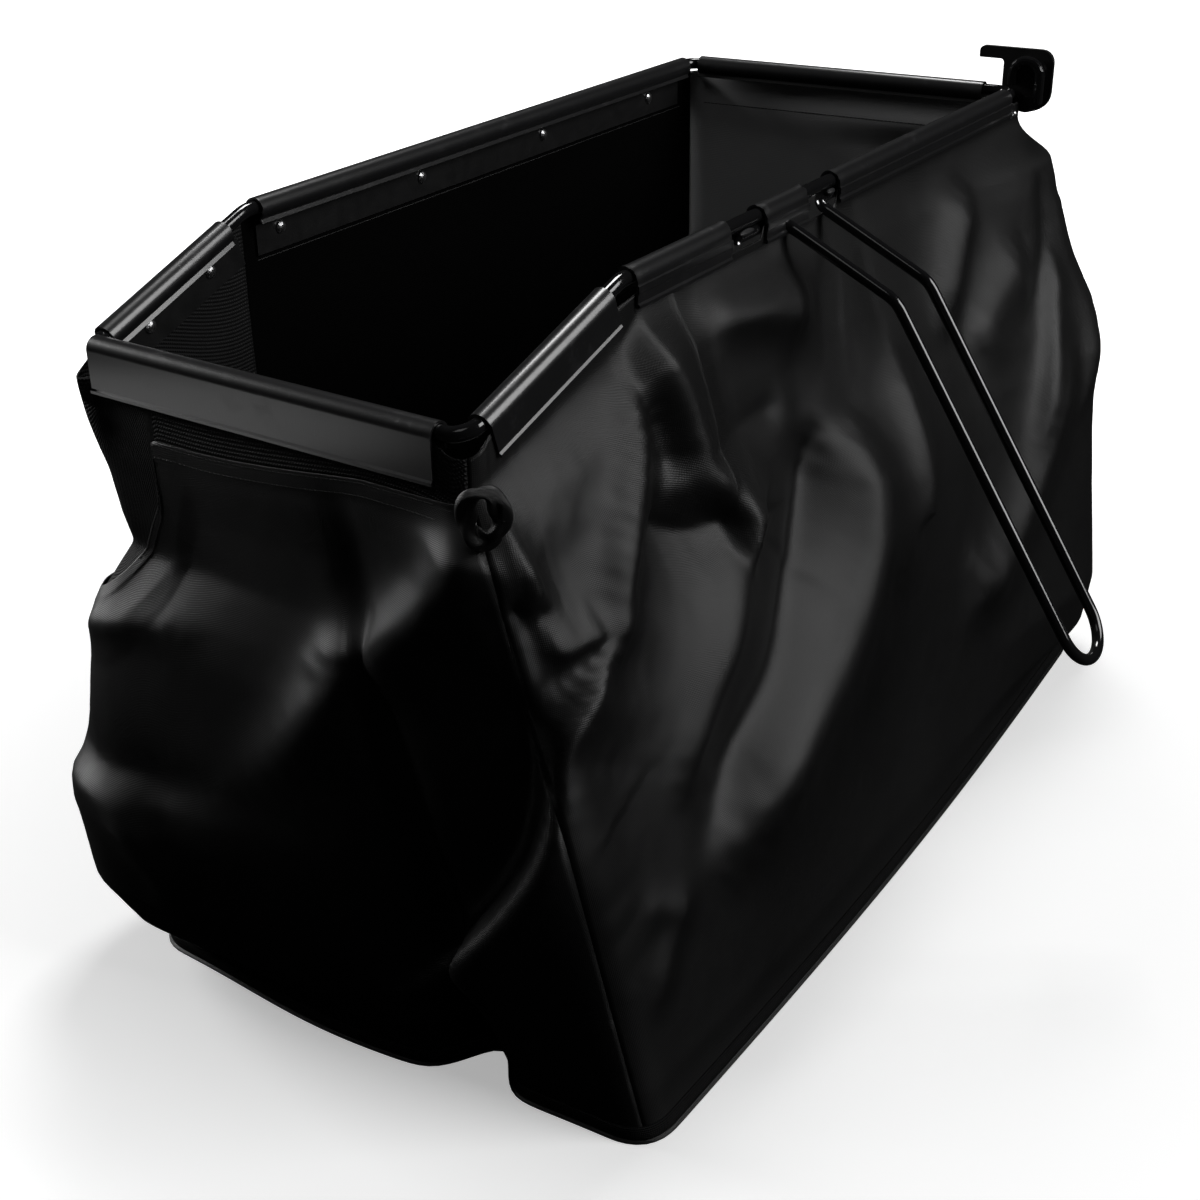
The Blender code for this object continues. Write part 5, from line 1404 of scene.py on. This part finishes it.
class CATCHER_OT_stage(PieceOperator, bpy.types.Operator):
    """Makes the floor, the lamps, the world and the camera"""

    bl_idname = "catcher.stage"
    bl_label = "Stage"

    def execute(self, context):
        settings = context.scene.catcher_stage
        scene = context.scene
        scene.view_settings.view_transform = "Standard"
        self.floor()
        self.world(scene)
        middle = np.array(STAGE_MIDDLE)
        for name, (place, size) in LAMPS.items():
            power = getattr(settings, f"{name}_power")
            self.lamp(f"{name} lamp", middle + place, middle, size, power)
        self.camera(scene, settings.lens)
        return {"FINISHED"}

    @staticmethod
    def floor():
        """A white floor, dark to all but the camera, with one glowing spot that only reflections
        see: a painted reflection.
        """
        finish = Finish("pale floor")
        seen = finish.node("ShaderNodeLightPath", out="Is Camera Ray")
        spot = finish.node("ShaderNodeTexCoord", out="Object")
        away = finish.node("ShaderNodeVectorMath", {"operation": "LENGTH"}, {0: spot}, "Value")
        mirrored = finish.node("ShaderNodeLightPath", out="Is Glossy Ray")
        beside = finish.node("ShaderNodeVectorMath", {"operation": "DISTANCE"},
                             {0: spot, 1: REFLECTED_SPOT}, "Value")
        # Camera rays see the floor's white; reflected rays see a glowing spot round REFLECTED_SPOT,
        # a painted reflection
        far = (seen * (away.between(0.35, 1.3) * 0.60 + 0.38)
               + mirrored * (1.0 - beside.between(SPOT_INNER, SPOT_OUTER)))
        finish.principled(
            Base_Color=finish.between_colours(seen, (0.01, 0.01, 0.01), (0.93, 0.93, 0.93)),
            Emission_Color=finish.between_colours(far, (0.0, 0.0, 0.0), (1.0, 1.0, 1.0)),
            Emission_Strength=1.0, Roughness=1.0, Specular_IOR_Level=0.0)
        corners = FLOOR_HALF * np.array([[(-1.0, 1.0, 0.0), (1.0, 1.0, 0.0)],
                                         [(-1.0, -1.0, 0.0), (1.0, -1.0, 0.0)]])
        grid_object("floor", corners, finish.material)

    @staticmethod
    def world(scene):
        """White where the camera looks past the floor, and dim to everything else."""
        world = bpy.data.worlds.new("studio")
        world.use_nodes = True
        scene.world = world
        tree = world.node_tree
        background = tree.nodes["Background"]
        seen = tree.nodes.new("ShaderNodeLightPath")
        bright = tree.nodes.new("ShaderNodeMix")
        bright.data_type = "FLOAT"
        bright.inputs[2].default_value = 0.004
        bright.inputs[3].default_value = 1.0
        tree.links.new(seen.outputs["Is Camera Ray"], bright.inputs[0])
        tree.links.new(bright.outputs[0], background.inputs["Strength"])
        background.inputs["Color"].default_value = (1.0, 1.0, 1.0, 1.0)

    @staticmethod
    def lamp(name, place, target, size, power):
        """A square soft lamp at a place, turned to the target."""
        light = bpy.data.lights.new(name, "AREA")
        light.shape = "SQUARE"
        light.size = size
        light.energy = power
        made = bpy.data.objects.new(name, light)
        bpy.context.scene.collection.objects.link(made)
        back = unit(np.array(place) - target)
        side = unit(np.cross(UP, back))
        over = np.cross(back, side)
        turn = Matrix(np.stack([side, over, back], axis=1).tolist()).to_4x4()
        made.matrix_world = Matrix.Translation(place) @ turn

    @staticmethod
    def camera(scene, lens):
        """The camera in front of the right corner, looking down on the mouth."""
        turn, rise, roll = CAMERA_TURN, CAMERA_RISE, CAMERA_ROLL
        back = np.array((math.sin(turn) * math.cos(rise), -math.cos(turn) * math.cos(rise),
                         math.sin(rise)))
        side = np.array((math.cos(turn), math.sin(turn), 0.0))
        over = np.cross(back, side)
        right = math.cos(roll) * side + math.sin(roll) * over
        top = -math.sin(roll) * side + math.cos(roll) * over
        data = bpy.data.cameras.new("camera")
        data.sensor_width = 36.0
        data.sensor_fit = "HORIZONTAL"
        data.lens = lens
        data.clip_start = 0.01
        made = bpy.data.objects.new("camera", data)
        scene.collection.objects.link(made)
        basis = Matrix(np.stack([right, top, back], axis=1).tolist()).to_4x4()
        made.matrix_world = Matrix.Translation(CAMERA_PLACE) @ basis
        scene.camera = made


class CATCHER_PT_panel(bpy.types.Panel):
    """The catcher's pieces and sizes"""

    bl_idname = "CATCHER_PT_panel"
    bl_label = "Grass Catcher"
    bl_space_type = "VIEW_3D"
    bl_region_type = "UI"
    bl_category = "Grass Catcher"

    def draw(self, context):
        layout = self.layout
        for operator in OPERATORS:
            layout.operator(operator.bl_idname)
        for group in (context.scene.catcher_cloth, context.scene.catcher_hardware,
                      context.scene.catcher_stage):
            box = layout.box()
            for key in group.__annotations__:
                box.prop(group, key)


OPERATORS = (
    CATCHER_OT_finishes,
    CATCHER_OT_rods,
    CATCHER_OT_clips,
    CATCHER_OT_walls,
    CATCHER_OT_base,
    CATCHER_OT_loop,
    CATCHER_OT_stitches,
    CATCHER_OT_stage,
)
GROUPS = (ClothSettings, HardwareSettings, StageSettings)


def register():
    for group in GROUPS + OPERATORS + (CATCHER_PT_panel,):
        bpy.utils.register_class(group)
    bpy.types.Scene.catcher_cloth = PointerProperty(type=ClothSettings)
    bpy.types.Scene.catcher_hardware = PointerProperty(type=HardwareSettings)
    bpy.types.Scene.catcher_stage = PointerProperty(type=StageSettings)


def unregister():
    del bpy.types.Scene.catcher_stage
    del bpy.types.Scene.catcher_hardware
    del bpy.types.Scene.catcher_cloth
    for group in (CATCHER_PT_panel,) + OPERATORS[::-1] + GROUPS[::-1]:
        bpy.utils.unregister_class(group)


def main():
    register()
    for operator in OPERATORS:
        space, name = operator.bl_idname.split(".")
        getattr(getattr(bpy.ops, space), name)()


if __name__ == "__main__":
    main()
